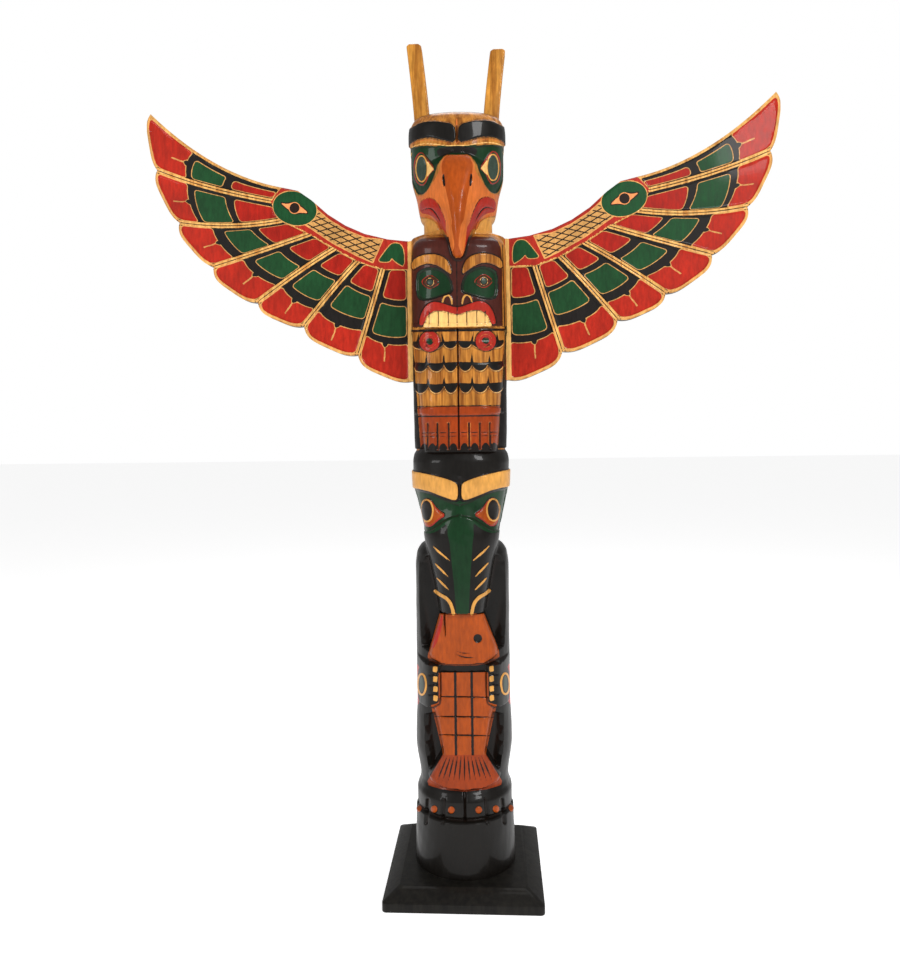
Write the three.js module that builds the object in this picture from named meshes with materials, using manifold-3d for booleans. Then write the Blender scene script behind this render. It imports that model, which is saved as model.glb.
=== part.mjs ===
// A carved and painted totem pole on a square base plate, in millimetres, +Z up, front towards -Y.
// One log carries everything from the drum up: a crouching bear that holds a fish under its long
// snout, and on its head an eagle whose chest is a second face. Two flat wings sit in slots in the
// sides of the chest, and two slats stand on the eagle's head as ears.
import * as THREE from "three";
import { mergeVertices } from "three/addons/utils/BufferGeometryUtils.js";
import Module from "manifold-3d";

// Driving dimensions
const BASE_SIDE = 270;
const BASE_THICKNESS = 30;
const BASE_CHAMFER = 27;
const BASE_CHAMFER_DROP = 15.5;
const BASE_CORNER_RADIUS = 7;

const FIT_GAP = 0.3;

const WING_THICKNESS = 20;
const WING_ROOT_BOTTOM = 888;
const WING_ROOT_TOP = 1142;
const WING_ROOT_X = 88;
const WING_TENON = 10;
const WING_FIELD_DEPTH = 2.5;
const WING_RIB_WIDTH = 9;
const WING_RIM_WIDTH = 6;
const SCALLOP_BULGES = [10, 11.5, 13, 15.5, 13.5, 15.5, 14.5];

const HEAD_TOP = 1352;
const EAR_LENGTH_LEFT = 145;
const EAR_LENGTH_RIGHT = 130;
const EAR_THICKNESS = 18;
const EAR_WIDTH_FOOT = 28;
const EAR_WIDTH_TOP = 27;
const EAR_X_FOOT = 62;
const EAR_X_TOP = 76;
const EAR_SETBACK = 6;

// The carving faces a little to the right of the wings and the plate, in degrees.
const LOG_TURN = 2.2;

const LOG_SEGMENTS = 22;
const FRONT_FAR = 160;
const FRONT_NEAR = 20;

const PAINT = {
  gold: { color: 0xc98a3c, roughness: 0.4, metalness: 0 },
  black: { color: 0x2a2722, roughness: 0.45, metalness: 0 },
  red: { color: 0xc03a22, roughness: 0.45, metalness: 0 },
};

const wasm = await Module();
wasm.setup();

// Solids

/** A closed three.js geometry as a solid that can be joined and cut. */
function solid(geometry) {
  const bare = new THREE.BufferGeometry().setAttribute("position", geometry.getAttribute("position"));
  if (geometry.index) bare.setIndex(geometry.index);
  const merged = mergeVertices(bare, 1e-4);
  return new wasm.Manifold(
    new wasm.Mesh({
      numProp: 3,
      vertProperties: new Float32Array(merged.attributes.position.array),
      triVerts: new Uint32Array(merged.index.array),
    }),
  );
}

/** A solid back as a three.js geometry. */
function geometryOf(body) {
  const mesh = body.getMesh();
  const geometry = new THREE.BufferGeometry();
  geometry.setAttribute("position", new THREE.BufferAttribute(new Float32Array(mesh.vertProperties), 3));
  geometry.setIndex(new THREE.BufferAttribute(new Uint32Array(mesh.triVerts), 1));
  return geometry;
}

/** A copy of a solid moved along Y. */
function shifted(body, dy) {
  return solid(geometryOf(body).translate(0, dy, 0));
}

/** Closes a stack of rings, each the same number of points, into one geometry with flat ends. */
function loft(rings) {
  const count = rings[0].length;
  const positions = rings.flat().flatMap((p) => [p.x, p.y, p.z]);
  const index = [];
  for (let i = 0; i < rings.length - 1; i++)
    for (let j = 0; j < count; j++) {
      const a = i * count + j;
      const b = i * count + ((j + 1) % count);
      index.push(a, b, a + count, b, b + count, a + count);
    }
  const flat = (ring) => ring.map((p) => new THREE.Vector2(p.x, p.y));
  const top = (rings.length - 1) * count;
  for (const [a, b, c] of THREE.ShapeUtils.triangulateShape(flat(rings[0]), [])) index.push(a, c, b);
  for (const [a, b, c] of THREE.ShapeUtils.triangulateShape(flat(rings.at(-1)), []))
    index.push(top + a, top + b, top + c);
  const geometry = new THREE.BufferGeometry();
  geometry.setAttribute("position", new THREE.Float32BufferAttribute(positions, 3));
  geometry.setIndex(index);
  return geometry;
}

/** A front-view outline, pushed through from one depth in front of the axis to another. */
function prism(outline, far, near) {
  const shape = new THREE.Shape(outline.map(([x, z]) => new THREE.Vector2(x, z)));
  const geometry = new THREE.ExtrudeGeometry(shape, { depth: far - near, bevelEnabled: false });
  return solid(geometry.rotateX(Math.PI / 2).translate(0, -near, 0));
}

/** An outline pushed through all that stands on the front of the log. */
const through = (outline) => prism(outline, FRONT_FAR, FRONT_NEAR);

const joined = (bodies) => bodies.reduce((whole, body) => whole.add(body));

// Outlines in the front view, as lists of [x, z]

const mirror = (outline) => outline.map(([x, z]) => [-x, z]).reverse();
const both = (...outlines) => outlines.flatMap((outline) => [outline, mirror(outline)]);

/** An ellipse, turned by an angle in degrees. */
function oval(cx, cz, rx, rz, turn = 0, sides = 12) {
  const angle = THREE.MathUtils.degToRad(turn);
  return Array.from({ length: sides }, (_, i) => {
    const t = (2 * Math.PI * i) / sides;
    const u = rx * Math.cos(t);
    const w = rz * Math.sin(t);
    return [cx + u * Math.cos(angle) - w * Math.sin(angle), cz + u * Math.sin(angle) + w * Math.cos(angle)];
  });
}

/** A line with a width, as an outline: pointed at both ends, or square. */
function stroke(points, width, pointed = false) {
  const side = (sign) =>
    points.map(([x, z], i) => {
      const [x0, z0] = points[Math.max(i - 1, 0)];
      const [x1, z1] = points[Math.min(i + 1, points.length - 1)];
      const length = Math.hypot(x1 - x0, z1 - z0);
      const end = i === 0 || i === points.length - 1;
      const half = (sign * (pointed && end ? 0.15 * width : width)) / 2;
      return [x - (half * (z1 - z0)) / length, z + (half * (x1 - x0)) / length];
    });
  return [...side(-1), ...side(1).reverse()];
}

// Carving: what a carver does to the front of the log

/** Cuts an outline back to a flat floor at a depth in front of the axis. */
const pocket = (body, outlines, floor) =>
  body.subtract(joined(outlines.map((o) => prism(o, FRONT_FAR, floor))));

/** Leaves an outline standing proud of the surface round it, following that surface. */
function raise(body, outlines, height) {
  const tools = joined(outlines.map(through));
  return body.add(tools.intersect(shifted(body, -height)));
}

/** Cuts an outline below the surface round it, following that surface. */
function sink(body, outlines, depth) {
  const tools = joined(outlines.map(through));
  return body.subtract(tools.subtract(shifted(body, depth)));
}

/** A mass on the front: at each height, the depths of its surface from the middle out to one side. */
function mass(stations, root = 10) {
  const rings = stations.map(({ z, section }) => {
    const right = section.map(([x, depth]) => new THREE.Vector3(x, -depth, z));
    const left = section.slice(1).map(([x, depth]) => new THREE.Vector3(-x, -depth, z));
    const edge = section.at(-1)[0];
    const foot = [edge, -edge].map((x) => new THREE.Vector3(x, -root, z));
    return [...left.reverse(), ...right, ...foot];
  });
  return solid(loft(rings));
}

// The log: sections from the drum up, as [z, half width, reach to the front, reach to the back,
// squareness]. A squareness of 2 is an ellipse.
const LOG = [
  [BASE_THICKNESS, 90, 90, 90, 2],
  [124, 87.5, 87.5, 87.5, 2],
  [128, 81, 78, 82, 2],
  [135, 85, 84, 83, 2],
  [158, 85, 86, 84, 2.2],
  [171, 80.5, 80, 83, 2.2],
  [181, 79, 74, 83, 2.2],
  [245, 86.5, 78, 85, 2.3],
  [335, 84, 80, 86, 2.3],
  [555, 84, 74, 84, 2.3],
  [580, 81, 70, 80, 2.2],
  [593, 74, 66, 74, 2.2],
  [601, 65, 64, 68, 2.2],
  [640, 74, 78, 71, 2.3],
  [680, 81.5, 84, 76, 2.4],
  [706, 85.5, 88, 81, 2.5],
  [742, 86.5, 87, 82, 2.5],
  [756, 84.5, 83, 80, 2.4],
  [765, 80, 76, 78, 2.4],
  [767, 83, 42, 84, 2.4],
  [965, 86, 50, 85, 2.4],
  [975, 87, 60, 86, 2.4],
  [1143, 85, 46, 82, 2.3],
  [1153, 62, 46, 66, 2.1],
  [1170, 62, 54, 66, 2.1],
  [1180, 67.5, 60, 69, 2.1],
  [1215, 74, 66, 74, 2.2],
  [1253, 83, 72, 80, 2.3],
  [1285, 85, 78, 82, 2.4],
  [1326, 85, 79, 82, 2.5],
  [1342, 83.5, 73, 80, 2.4],
  [HEAD_TOP, 79, 60, 75, 2.4],
];

/** One superellipse section of the log. */
function logRing([z, halfWidth, front, back, squareness]) {
  const bend = (value) => Math.sign(value) * Math.abs(value) ** (2 / squareness);
  return Array.from({ length: LOG_SEGMENTS }, (_, i) => {
    const angle = (2 * Math.PI * (i + 0.5)) / LOG_SEGMENTS;
    const toBack = Math.sin(angle) > 0;
    return new THREE.Vector3(
      halfWidth * bend(Math.cos(angle)),
      (toBack ? back : front) * bend(Math.sin(angle)),
      z,
    );
  });
}

// The bear

const BELLY_DEPTH = 38;
const LAP_DEPTH = 46;
const BELLY = [
  [77, 560], [74, 470], [70, 404], [-70, 404], [-74, 470], [-77, 560], [-62, 582], [62, 582],
];
const LAP = [[68, 318], [67, 250], [60, 196], [-60, 196], [-67, 250], [-68, 318]];
const BEAR_FOREARM = [
  [42, 393], [50, 397], [64, 396], [83, 408], [83, 317], [64, 318], [50, 325], [42, 331],
];
const FOREARM_FACE = mass([
  { z: 310, section: [[0, 86], [52, 86], [67, 71], [83, 27]] },
  { z: 415, section: [[0, 86], [52, 86], [67, 71], [83, 27]] },
]);
const BEAR_BROW = [
  [83, 729], [58, 724], [37, 719], [17, 713], [4, 705], [3, 681], [8, 677], [30, 685], [60, 697],
  [83, 700],
];
const BEAR_SOCKET = [
  [86, 698], [60, 694], [30, 682], [12, 674], [0, 671], [0, 650], [18, 648], [36, 636], [52, 625],
  [66, 624], [86, 640],
];
const BEAR_EYE = [
  [67, 660], [65, 675], [58, 682], [49, 678], [38, 662], [24, 653], [38, 645], [50, 634],
  [59, 634], [65, 645],
];
const BEAR_NOSTRIL = stroke([[48, 526], [38, 518], [28, 513], [21, 505], [17, 494], [16, 486]], 5.5);
const BEAR_SNOUT = mass([
  { z: 486, section: [[0, 98], [10, 98], [28, 94], [41, 66]] },
  { z: 525, section: [[0, 98], [13, 98], [33, 93], [48, 62]] },
  { z: 570, section: [[0, 97], [16, 97], [38, 91], [57, 58]] },
  { z: 619, section: [[0, 95], [20, 95], [44, 86], [67, 56]] },
  { z: 650, section: [[0, 90], [18, 88], [42, 76], [68, 50]] },
  { z: 682, section: [[0, 82], [12, 81], [34, 73], [62, 50]] },
]);
const TOE_GAPS = [
  [[-2.5, 176], [2.5, 176], [4, 129], [-4, 129]],
  ...both([[37, 163], [39, 163], [43, 129], [33, 129]], [[66, 161], [68, 161], [72, 129], [62, 129]]),
];
const CLAWS = both(oval(23.5, 149, 5.5, 6, 0, 8), oval(53, 150, 5.5, 6, 0, 8));
const FINGER_GAPS = both(
  ...[348, 364, 380].map((z) => [[43.5, z - 2], [58, z - 4], [58, z], [43.5, z + 2]]),
);

// The fish

const FISH_HEAD = [
  [36, 484], [60, 422], [61, 411], [55, 405], [40, 399], [16, 396], [-16, 396], [-40, 398],
  [-58, 405], [-60, 412], [-39, 484],
];
const FISH_BODY = [
  [42, 383], [43, 334], [56, 330], [47, 296], [36, 246], [36, 240], [-36, 240], [-36, 246],
  [-47, 296], [-56, 330], [-43, 334], [-42, 383],
];
const FISH_NECK_DEPTH = 74;
const FISH_NECK = [[41, 400], [41, 380], [-41, 380], [-41, 400]];
const FISH_TAIL = [
  [35, 245], [63, 198], [61, 192], [38, 185], [0, 181], [-38, 185], [-61, 192], [-63, 198],
  [-35, 245],
];
const FISH_EYE = oval(25, 441, 7, 7, 0, 10);
const FISH_CRACK = [[-32.5, 482], [-29.5, 482], [-30.6, 438], [-31.4, 438]];
const FISH_SCALES = [
  ...[-14, 14].map((x) => stroke([[x, 384], [x, 244]], 3.6)),
  ...[342, 308, 277].map((z) => stroke([[-46 + (342 - z) / 7, z], [46 - (342 - z) / 7, z]], 2.4)),
];
const FISH_FACE = mass([
  { z: 176, section: [[0, 84], [30, 82], [66, 74]] },
  { z: 240, section: [[0, 83], [30, 82], [66, 74]] },
  { z: 400, section: [[0, 84], [30, 83], [66, 74]] },
  { z: 490, section: [[0, 88], [30, 87], [66, 78]] },
]);
const FISH_FIN_RAYS = 7;
const FIN_RAYS = Array.from({ length: FISH_FIN_RAYS }, (_, i) => {
  const share = (2 * i) / (FISH_FIN_RAYS - 1) - 1;
  return stroke([[share * 29, 238], [share * 43, 200]], 3.2, true);
});

// The eagle

const CHEST = mass([
  { z: 973, section: [[0, 91], [40, 89], [68, 77], [84, 52]] },
  { z: 1110, section: [[0, 90], [40, 88], [68, 76], [84, 50]] },
  { z: 1122, section: [[0, 86], [40, 84], [68, 72], [83, 46]] },
  { z: 1141, section: [[0, 58], [36, 55], [60, 44], [76, 24]] },
]);
const LEGS = mass([
  { z: 760, section: [[0, 87], [30, 86], [52, 80], [64, 60]] },
  { z: 822, section: [[0, 86], [34, 85], [57, 78], [69, 56]] },
  { z: 973, section: [[0, 85], [40, 84], [66, 74], [81, 50]] },
]);
const CHEST_BROW = [
  [76, 1087], [62, 1095], [43, 1098], [25, 1094], [13, 1083], [9, 1062], [18, 1070], [31, 1078],
  [46, 1083], [62, 1080], [76, 1070],
];
const CHEST_SOCKET = [
  [68, 1064], [60, 1072], [44, 1075], [28, 1071], [15, 1061], [8, 1046], [8, 1033], [24, 1029],
  [46, 1022], [62, 1021], [69, 1028],
];
const CHEST_EYE = [
  [61, 1051], [52, 1059], [46, 1062], [39, 1059], [29, 1050], [38, 1043], [46, 1040], [53, 1043],
];
const CHEST_NOSTRIL = stroke([[9, 1014], [10, 1024], [16, 1029], [22, 1024], [25, 1016]], 3.4);
const LIP = [
  [-66, 977], [-62, 997], [-52, 1012], [-40, 1017], [-24, 1013], [0, 1007],
  [24, 1013], [40, 1017], [52, 1012], [62, 997], [66, 977], [58, 977],
  [52, 993], [40, 1002], [24, 1002], [0, 995], [-24, 1002], [-40, 1002], [-52, 993], [-58, 977],
];
const TEETH_GAPS = [-48, -33, -16, 0, 16, 33, 48].map((x) => stroke([[x, 1004], [x, 978]], 2.2));
const LEG_DISC = oval(48, 950, 17.5, 17.5);
const LEG_BAND = [[-70, 838], [70, 838], [68, 823], [-68, 823]];
const LEG_PARTING = stroke([[0, 971], [0, 764]], 3.4);
const TOE_LINES = [15, 30, 45].flatMap((x) => {
  const groove = [[x - 0.6, 808], [x + 0.6, 808], [x + 2, 756], [x - 2, 756]];
  return [groove, mirror(groove)];
});
const FEATHER_EDGES = [1, 24, 51, 77];
const FEATHER_ROWS = [
  { top: 947, drop: 10 },
  { top: 911, drop: 13 },
  { top: 875, drop: 14 },
];

/** The part of the leg panel above one row of three rounded feather tips a side. */
function aboveFeathers({ top, drop }) {
  const tip = (start, end) => {
    const middle = (start + end) / 2;
    const half = (end - start) / 2;
    return [-1, -0.7, 0, 0.7].map((u) => [middle + half * u, top - drop * (1 - u ** 2)]);
  };
  const side = FEATHER_EDGES.at(-1);
  const tips = FEATHER_EDGES.slice(0, -1).flatMap((start, i) => tip(start, FEATHER_EDGES[i + 1]));
  const half = [...tips, [side, top]];
  return [[-side, 968], ...mirror(half), ...half, [side, 968]];
}

const BEAK = mass([
  { z: 1087, section: [[0, 90], [1.5, 90], [3, 89], [5, 86], [6, 80]] },
  { z: 1093, section: [[0, 102], [3, 101], [6, 98], [9, 92], [11, 80]] },
  { z: 1108, section: [[0, 110], [4, 109], [9, 104], [13, 95], [15, 78]] },
  { z: 1130, section: [[0, 115], [5, 114], [13, 104], [19, 88], [22, 66]] },
  { z: 1160, section: [[0, 117], [7, 116], [18, 102], [28, 78], [35, 50]] },
  { z: 1180, section: [[0, 116], [9, 115], [24, 97], [40, 68], [54, 36]] },
  { z: 1192, section: [[0, 115], [12, 114], [30, 92], [50, 62], [64, 34]] },
  { z: 1216, section: [[0, 110], [18, 109], [36, 86], [56, 60], [69, 34]] },
  { z: 1246, section: [[0, 102], [25, 100], [38, 84], [52, 68], [66, 46]] },
  { z: 1265, section: [[0, 92], [20, 90], [30, 80], [40, 70], [50, 58]] },
  { z: 1274, section: [[0, 78], [10, 77], [18, 75], [26, 70], [34, 62]] },
]);
const EAGLE_BROW = [
  [86, 1331], [62, 1336], [45, 1334], [26, 1330], [10, 1323], [3, 1314], [3, 1297], [22, 1297],
  [41, 1303], [57, 1306], [72, 1307], [86, 1306],
];
const EAGLE_SOCKET = [
  [86, 1298], [72, 1297], [56, 1295], [26, 1287], [0, 1286], [0, 1270], [20, 1268], [32, 1260],
  [40, 1245], [50, 1226], [60, 1213], [70, 1213], [86, 1240],
];
const EAGLE_EYE = [
  [70, 1269], [66, 1282], [60, 1284], [52, 1272], [38, 1254], [48, 1246], [54, 1230], [61, 1225],
  [70, 1234], [74, 1250],
];
const EAGLE_NOSTRIL = oval(23, 1220, 2.2, 11, 0, 8);
const MOUTH_LINE = stroke([[62, 1186], [50, 1190], [42, 1186], [34, 1172]], 2.6, true);

/** The whole log with the bear, the fish and the eagle cut in it. */
function carvedLog() {
  let log = solid(loft(LOG.map(logRing)));
  log = pocket(log, [BELLY], BELLY_DEPTH);
  log = pocket(log, [LAP], LAP_DEPTH);
  log = joined([log, CHEST, LEGS, BEAK, BEAR_SNOUT]);
  const fish = [FISH_HEAD, FISH_BODY, FISH_TAIL].map((o) => through(o).intersect(FISH_FACE));
  log = joined([log, ...fish, prism(FISH_NECK, FISH_NECK_DEPTH, FRONT_NEAR)]);
  log = joined([log, ...both(BEAR_FOREARM).map((o) => through(o).intersect(FOREARM_FACE))]);
  for (const row of FEATHER_ROWS) log = raise(log, [aboveFeathers(row)], 1.3);
  log = raise(log, [
    ...both(BEAR_BROW, EAGLE_BROW, CHEST_BROW),
    LIP,
    ...both(LEG_DISC),
    LEG_BAND,
  ], 3);
  log = sink(log, both(BEAR_SOCKET, EAGLE_SOCKET, CHEST_SOCKET), 4);
  log = raise(log, both(BEAR_EYE, EAGLE_EYE, CHEST_EYE, CHEST_NOSTRIL, BEAR_NOSTRIL), 2.2);
  log = raise(log, CLAWS, 2.2);
  log = sink(log, [...TOE_GAPS, ...FINGER_GAPS, LEG_PARTING, ...TOE_LINES, ...TEETH_GAPS], 3.5);
  log = sink(log, [FISH_EYE, FISH_CRACK, ...FIN_RAYS, ...both(EAGLE_NOSTRIL, MOUTH_LINE)], 3);
  log = sink(log, FISH_SCALES, 2.4);
  log = log.rotate([0, 0, LOG_TURN]);
  return log.subtract(wingRoot(1, FIT_GAP)).subtract(wingRoot(-1, FIT_GAP));
}

// The wings, as points [distance out from the axis, z]

const WING_TIP = [566, 1390];
const WING_TOP_EDGE = [
  [533, 1358], [487, 1320], [446, 1296], [408, 1274], [367, 1258], [322, 1247], [292, 1240],
  [267, 1222], [237, 1195], [205, 1174], [170, 1158], [128, 1147],
];
const WING_QUILLS = [
  { rim: [555, 1286], bend: [458, 1251], arm: [341, 1222] },
  { rim: [514, 1188], bend: [418, 1179], arm: [322, 1186] },
  { rim: [451, 1105], bend: [356, 1133], arm: [270, 1160] },
  { rim: [369, 1038], bend: [294, 1090], arm: [225, 1132] },
  { rim: [284, 993], bend: [227, 1060], arm: [182, 1108] },
  { rim: [185, 938], bend: [159, 1021], arm: [137, 1093] },
];
const WING_FIRST = { rim: WING_TIP, bend: [446, 1296], arm: [322, 1247] };
const WING_LAST = {
  rim: [WING_ROOT_X, WING_ROOT_BOTTOM],
  bend: [WING_ROOT_X, 990],
  arm: [WING_ROOT_X, 1092],
};
const WING_EYE = { x: 297.5, z: 1208, across: 41, up: 30, tilt: 18 };
const RIM_STEPS = 6;

/** A point on a quill's curve, from the arm at 0 to the rim at 1. */
function quillPoint({ rim, bend, arm }, s) {
  const pull = bend.map((value, i) => 2 * value - (rim[i] + arm[i]) / 2);
  return arm.map((value, i) => (1 - s) ** 2 * value + 2 * s * (1 - s) * pull[i] + s ** 2 * rim[i]);
}

/** A point of one feather: s runs from the arm to the rim, t from its outer quill to its inner one. */
function featherPoint({ outer, inner, bulge }, s, t) {
  const a = quillPoint(outer, s);
  const b = quillPoint(inner, s);
  const chord = [inner.rim[0] - outer.rim[0], inner.rim[1] - outer.rim[1]];
  const length = Math.hypot(...chord);
  const swell = bulge * s ** 3 * (1 - (2 * t - 1) ** 4) * (1.25 - 0.5 * t);
  return [
    a[0] + (b[0] - a[0]) * t - (swell * chord[1]) / length,
    a[1] + (b[1] - a[1]) * t + (swell * chord[0]) / length,
  ];
}

const QUILLS = [WING_FIRST, ...WING_QUILLS, WING_LAST];
const FEATHERS = SCALLOP_BULGES.map((bulge, i) => ({ outer: QUILLS[i], inner: QUILLS[i + 1], bulge }));

/** The outline of the whole wing, root at its inner end. */
function wingOutline() {
  const rim = FEATHERS.flatMap((feather) =>
    Array.from({ length: RIM_STEPS }, (_, i) => featherPoint(feather, 1, i / RIM_STEPS)),
  );
  return [
    ...rim,
    [WING_ROOT_X, WING_ROOT_BOTTOM],
    [WING_ROOT_X - WING_TENON, WING_ROOT_BOTTOM],
    [WING_ROOT_X - WING_TENON, WING_ROOT_TOP],
    [WING_ROOT_X, WING_ROOT_TOP],
    ...WING_TOP_EDGE.toReversed(),
  ];
}

/** The sunk field of one feather, which leaves its quills and its rim standing. */
function featherField(feather) {
  const { outer, inner } = feather;
  const across = Math.hypot(inner.rim[0] - outer.rim[0], inner.rim[1] - outer.rim[1]);
  const along = Math.hypot(outer.rim[0] - outer.arm[0], outer.rim[1] - outer.arm[1]);
  const t0 = WING_RIB_WIDTH / 2 / across;
  const s0 = 0.05;
  const s1 = 1 - WING_RIM_WIDTH / along;
  const steps = 4;
  const line = Array.from({ length: steps + 1 }, (_, i) => i / steps);
  const widen = (s) => t0 + (1 - s) * t0;
  return [
    ...line.map((i) => s0 + (s1 - s0) * i).map((s) => featherPoint(feather, s, widen(s))),
    ...line.slice(1, -1).map((i) => featherPoint(feather, s1, t0 + (1 - 2 * t0) * i)),
    ...line.map((i) => s1 + (s0 - s1) * i).map((s) => featherPoint(feather, s, 1 - widen(s))),
  ];
}

const HALF = WING_THICKNESS / 2;

/** One wing: side is 1 for +X and -1 for -X. */
function wing(side) {
  const turned = (outline) => outline.map(([x, z]) => [side * x, z]);
  const board = prism(turned(wingOutline()), HALF, -HALF);
  const fields = FEATHERS.map(featherField).map((o) => prism(turned(o), HALF + 1, HALF - WING_FIELD_DEPTH));
  const { x, z, across, up, tilt } = WING_EYE;
  const eye = prism(turned(oval(x, z, across, up, tilt, 18)), HALF + 1, -HALF + 1);
  const cut = joined(fields).subtract(eye);
  const pupil = oval(x, z, 11, 9, tilt, 10);
  return board.subtract(cut).subtract(prism(turned(pupil), HALF + 1, HALF - WING_FIELD_DEPTH));
}

/** The inner end of a wing, grown by a gap, which cuts its slot in the log. */
function wingRoot(side, gap) {
  const inner = WING_ROOT_X - WING_TENON - gap;
  const outer = WING_ROOT_X + 20;
  const bottom = WING_ROOT_BOTTOM - gap;
  const top = WING_ROOT_TOP + gap;
  const slot = [[inner, bottom], [outer, bottom], [outer, top], [inner, top]];
  return prism(slot.map(([x, z]) => [side * x, z]), HALF + gap, -HALF - gap);
}

/** One ear: a slat that leans outwards, standing on the flat top of the head. The two differ in length. */
function ear(side, length) {
  const section = (z, x, width) => {
    const w = width / 2;
    const t = EAR_THICKNESS / 2;
    const cut = 3;
    const right = [[w - cut, -t], [w, cut - t], [w, t - cut], [w - cut, t]];
    const left = right.map(([dx, dy]) => [-dx, dy]).reverse();
    const corners = [...right, ...left];
    return corners.map(([dx, dy]) => new THREE.Vector3(side * x + dx, dy - EAR_SETBACK, z));
  };
  const at = (share) => HEAD_TOP + share * length;
  const lean = (share) => EAR_X_FOOT + (EAR_X_TOP - EAR_X_FOOT) * share ** 1.2;
  const width = (share) => EAR_WIDTH_FOOT + (EAR_WIDTH_TOP - EAR_WIDTH_FOOT) * share;
  const rings = [0, 0.35, 0.7, 0.96].map((share) => section(at(share), lean(share), width(share)));
  rings.push(section(at(1), lean(1), width(1) - 5));
  return loft(rings);
}

/** The square base plate, its top edge cut back in a broad chamfer. */
function basePlate() {
  const square = (inset, z) => {
    const half = BASE_SIDE / 2 - inset;
    const steps = 3;
    return [[1, 1], [-1, 1], [-1, -1], [1, -1]].flatMap(([sx, sy], quarter) =>
      Array.from({ length: steps + 1 }, (_, i) => {
        const angle = ((quarter + i / steps) * Math.PI) / 2;
        const c = half - BASE_CORNER_RADIUS;
        return new THREE.Vector3(
          sx * c + BASE_CORNER_RADIUS * Math.cos(angle),
          sy * c + BASE_CORNER_RADIUS * Math.sin(angle),
          z,
        );
      }),
    );
  };
  return loft([
    square(0, 0),
    square(0, BASE_THICKNESS - BASE_CHAMFER_DROP),
    square(BASE_CHAMFER, BASE_THICKNESS),
  ]);
}

/** A named mesh in its paint. */
function piece(name, geometry, paint) {
  const mesh = new THREE.Mesh(geometry, new THREE.MeshStandardMaterial(paint));
  mesh.name = name;
  return mesh;
}

const totem = new THREE.Group();
totem.add(
  piece("base_plate", basePlate(), PAINT.black),
  piece("carved_log", geometryOf(carvedLog()), PAINT.gold),
  piece("wing_right", geometryOf(wing(1)), PAINT.red),
  piece("wing_left", geometryOf(wing(-1)), PAINT.red),
  piece("ear_right", ear(1, EAR_LENGTH_RIGHT), PAINT.gold),
  piece("ear_left", ear(-1, EAR_LENGTH_LEFT), PAINT.gold),
);

export default totem;
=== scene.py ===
"""Looks of a carved and painted totem pole.

The log, the wings, the ears and the plate are modelled piece by piece over the solids of the part.
Every size in the classes below is in millimetres, seen from the front: x to the right, z up from the
underside of the plate, and depth from the log's axis towards the viewer. Meshes are made in metres.
"""

import logging
import math
from collections.abc import Callable, Sequence
from dataclasses import dataclass, field, replace
from enum import Enum

import bpy
import numpy as np
from mathutils import Matrix, Vector


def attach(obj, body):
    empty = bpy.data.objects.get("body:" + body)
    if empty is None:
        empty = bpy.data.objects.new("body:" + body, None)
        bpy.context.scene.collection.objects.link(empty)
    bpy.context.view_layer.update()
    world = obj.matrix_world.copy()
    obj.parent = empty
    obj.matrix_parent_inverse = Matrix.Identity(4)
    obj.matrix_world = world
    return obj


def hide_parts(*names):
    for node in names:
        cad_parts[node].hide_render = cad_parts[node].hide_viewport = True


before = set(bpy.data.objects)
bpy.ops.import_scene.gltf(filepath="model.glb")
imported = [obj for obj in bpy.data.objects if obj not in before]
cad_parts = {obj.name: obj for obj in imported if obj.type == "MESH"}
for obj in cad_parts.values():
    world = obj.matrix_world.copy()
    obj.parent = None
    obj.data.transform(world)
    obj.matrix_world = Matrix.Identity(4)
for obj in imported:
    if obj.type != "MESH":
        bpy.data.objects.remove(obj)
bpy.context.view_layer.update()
LOG = logging.getLogger("totem")
MM = 0.001
FAR = 9.0
PHOTO_SIZE = (900, 962)

Grid = np.ndarray
Points = Sequence[tuple[float, float]]
Colour = tuple[float, float, float]
Socket = bpy.types.NodeSocket


# Curves and distances


def smooth_step(low: float, high: float, value: Grid) -> Grid:
    """Rises from 0 at low to 1 at high with level ends."""
    share = np.clip((value - low) / (high - low), 0.0, 1.0)
    return share * share * (3.0 - 2.0 * share)


def smooth_top(a: Grid, b: Grid, blend: float) -> Grid:
    """The larger of two surfaces, with a fillet of about blend where they meet."""
    share = np.clip(0.5 + 0.5 * (a - b) / blend, 0.0, 1.0)
    return b + (a - b) * share + blend * share * (1.0 - share)


def even_curve(at: Grid, knots: Grid, values: Grid) -> Grid:
    """A curve through the knots that never swings past them.

    Args:
        at: where to read the curve.
        knots: the places of the known values, rising.
        values: the known values.

    Returns:
        The curve's value at each place.
    """
    gaps = np.diff(knots)
    slopes = np.diff(values) / gaps
    left, right = slopes[:-1], slopes[1:]
    flat = left * right <= 0.0
    safe_left = np.where(flat, 1.0, left)
    safe_right = np.where(flat, 1.0, right)
    tangents = np.zeros(len(knots))
    tangents[1:-1] = np.where(flat, 0.0, 2.0 / (1.0 / safe_left + 1.0 / safe_right))
    tangents[0], tangents[-1] = slopes[0], slopes[-1]
    at = np.clip(at, knots[0], knots[-1])
    cell = np.clip(np.searchsorted(knots, at, side="right") - 1, 0, len(gaps) - 1)
    width = gaps[cell]
    t = (at - knots[cell]) / width
    start = (1 + 2 * t) * (1 - t) ** 2 * values[cell] + t * (1 - t) ** 2 * width * tangents[cell]
    end = t * t * (3 - 2 * t) * values[cell + 1] + t * t * (t - 1) * width * tangents[cell + 1]
    return start + end


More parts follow.
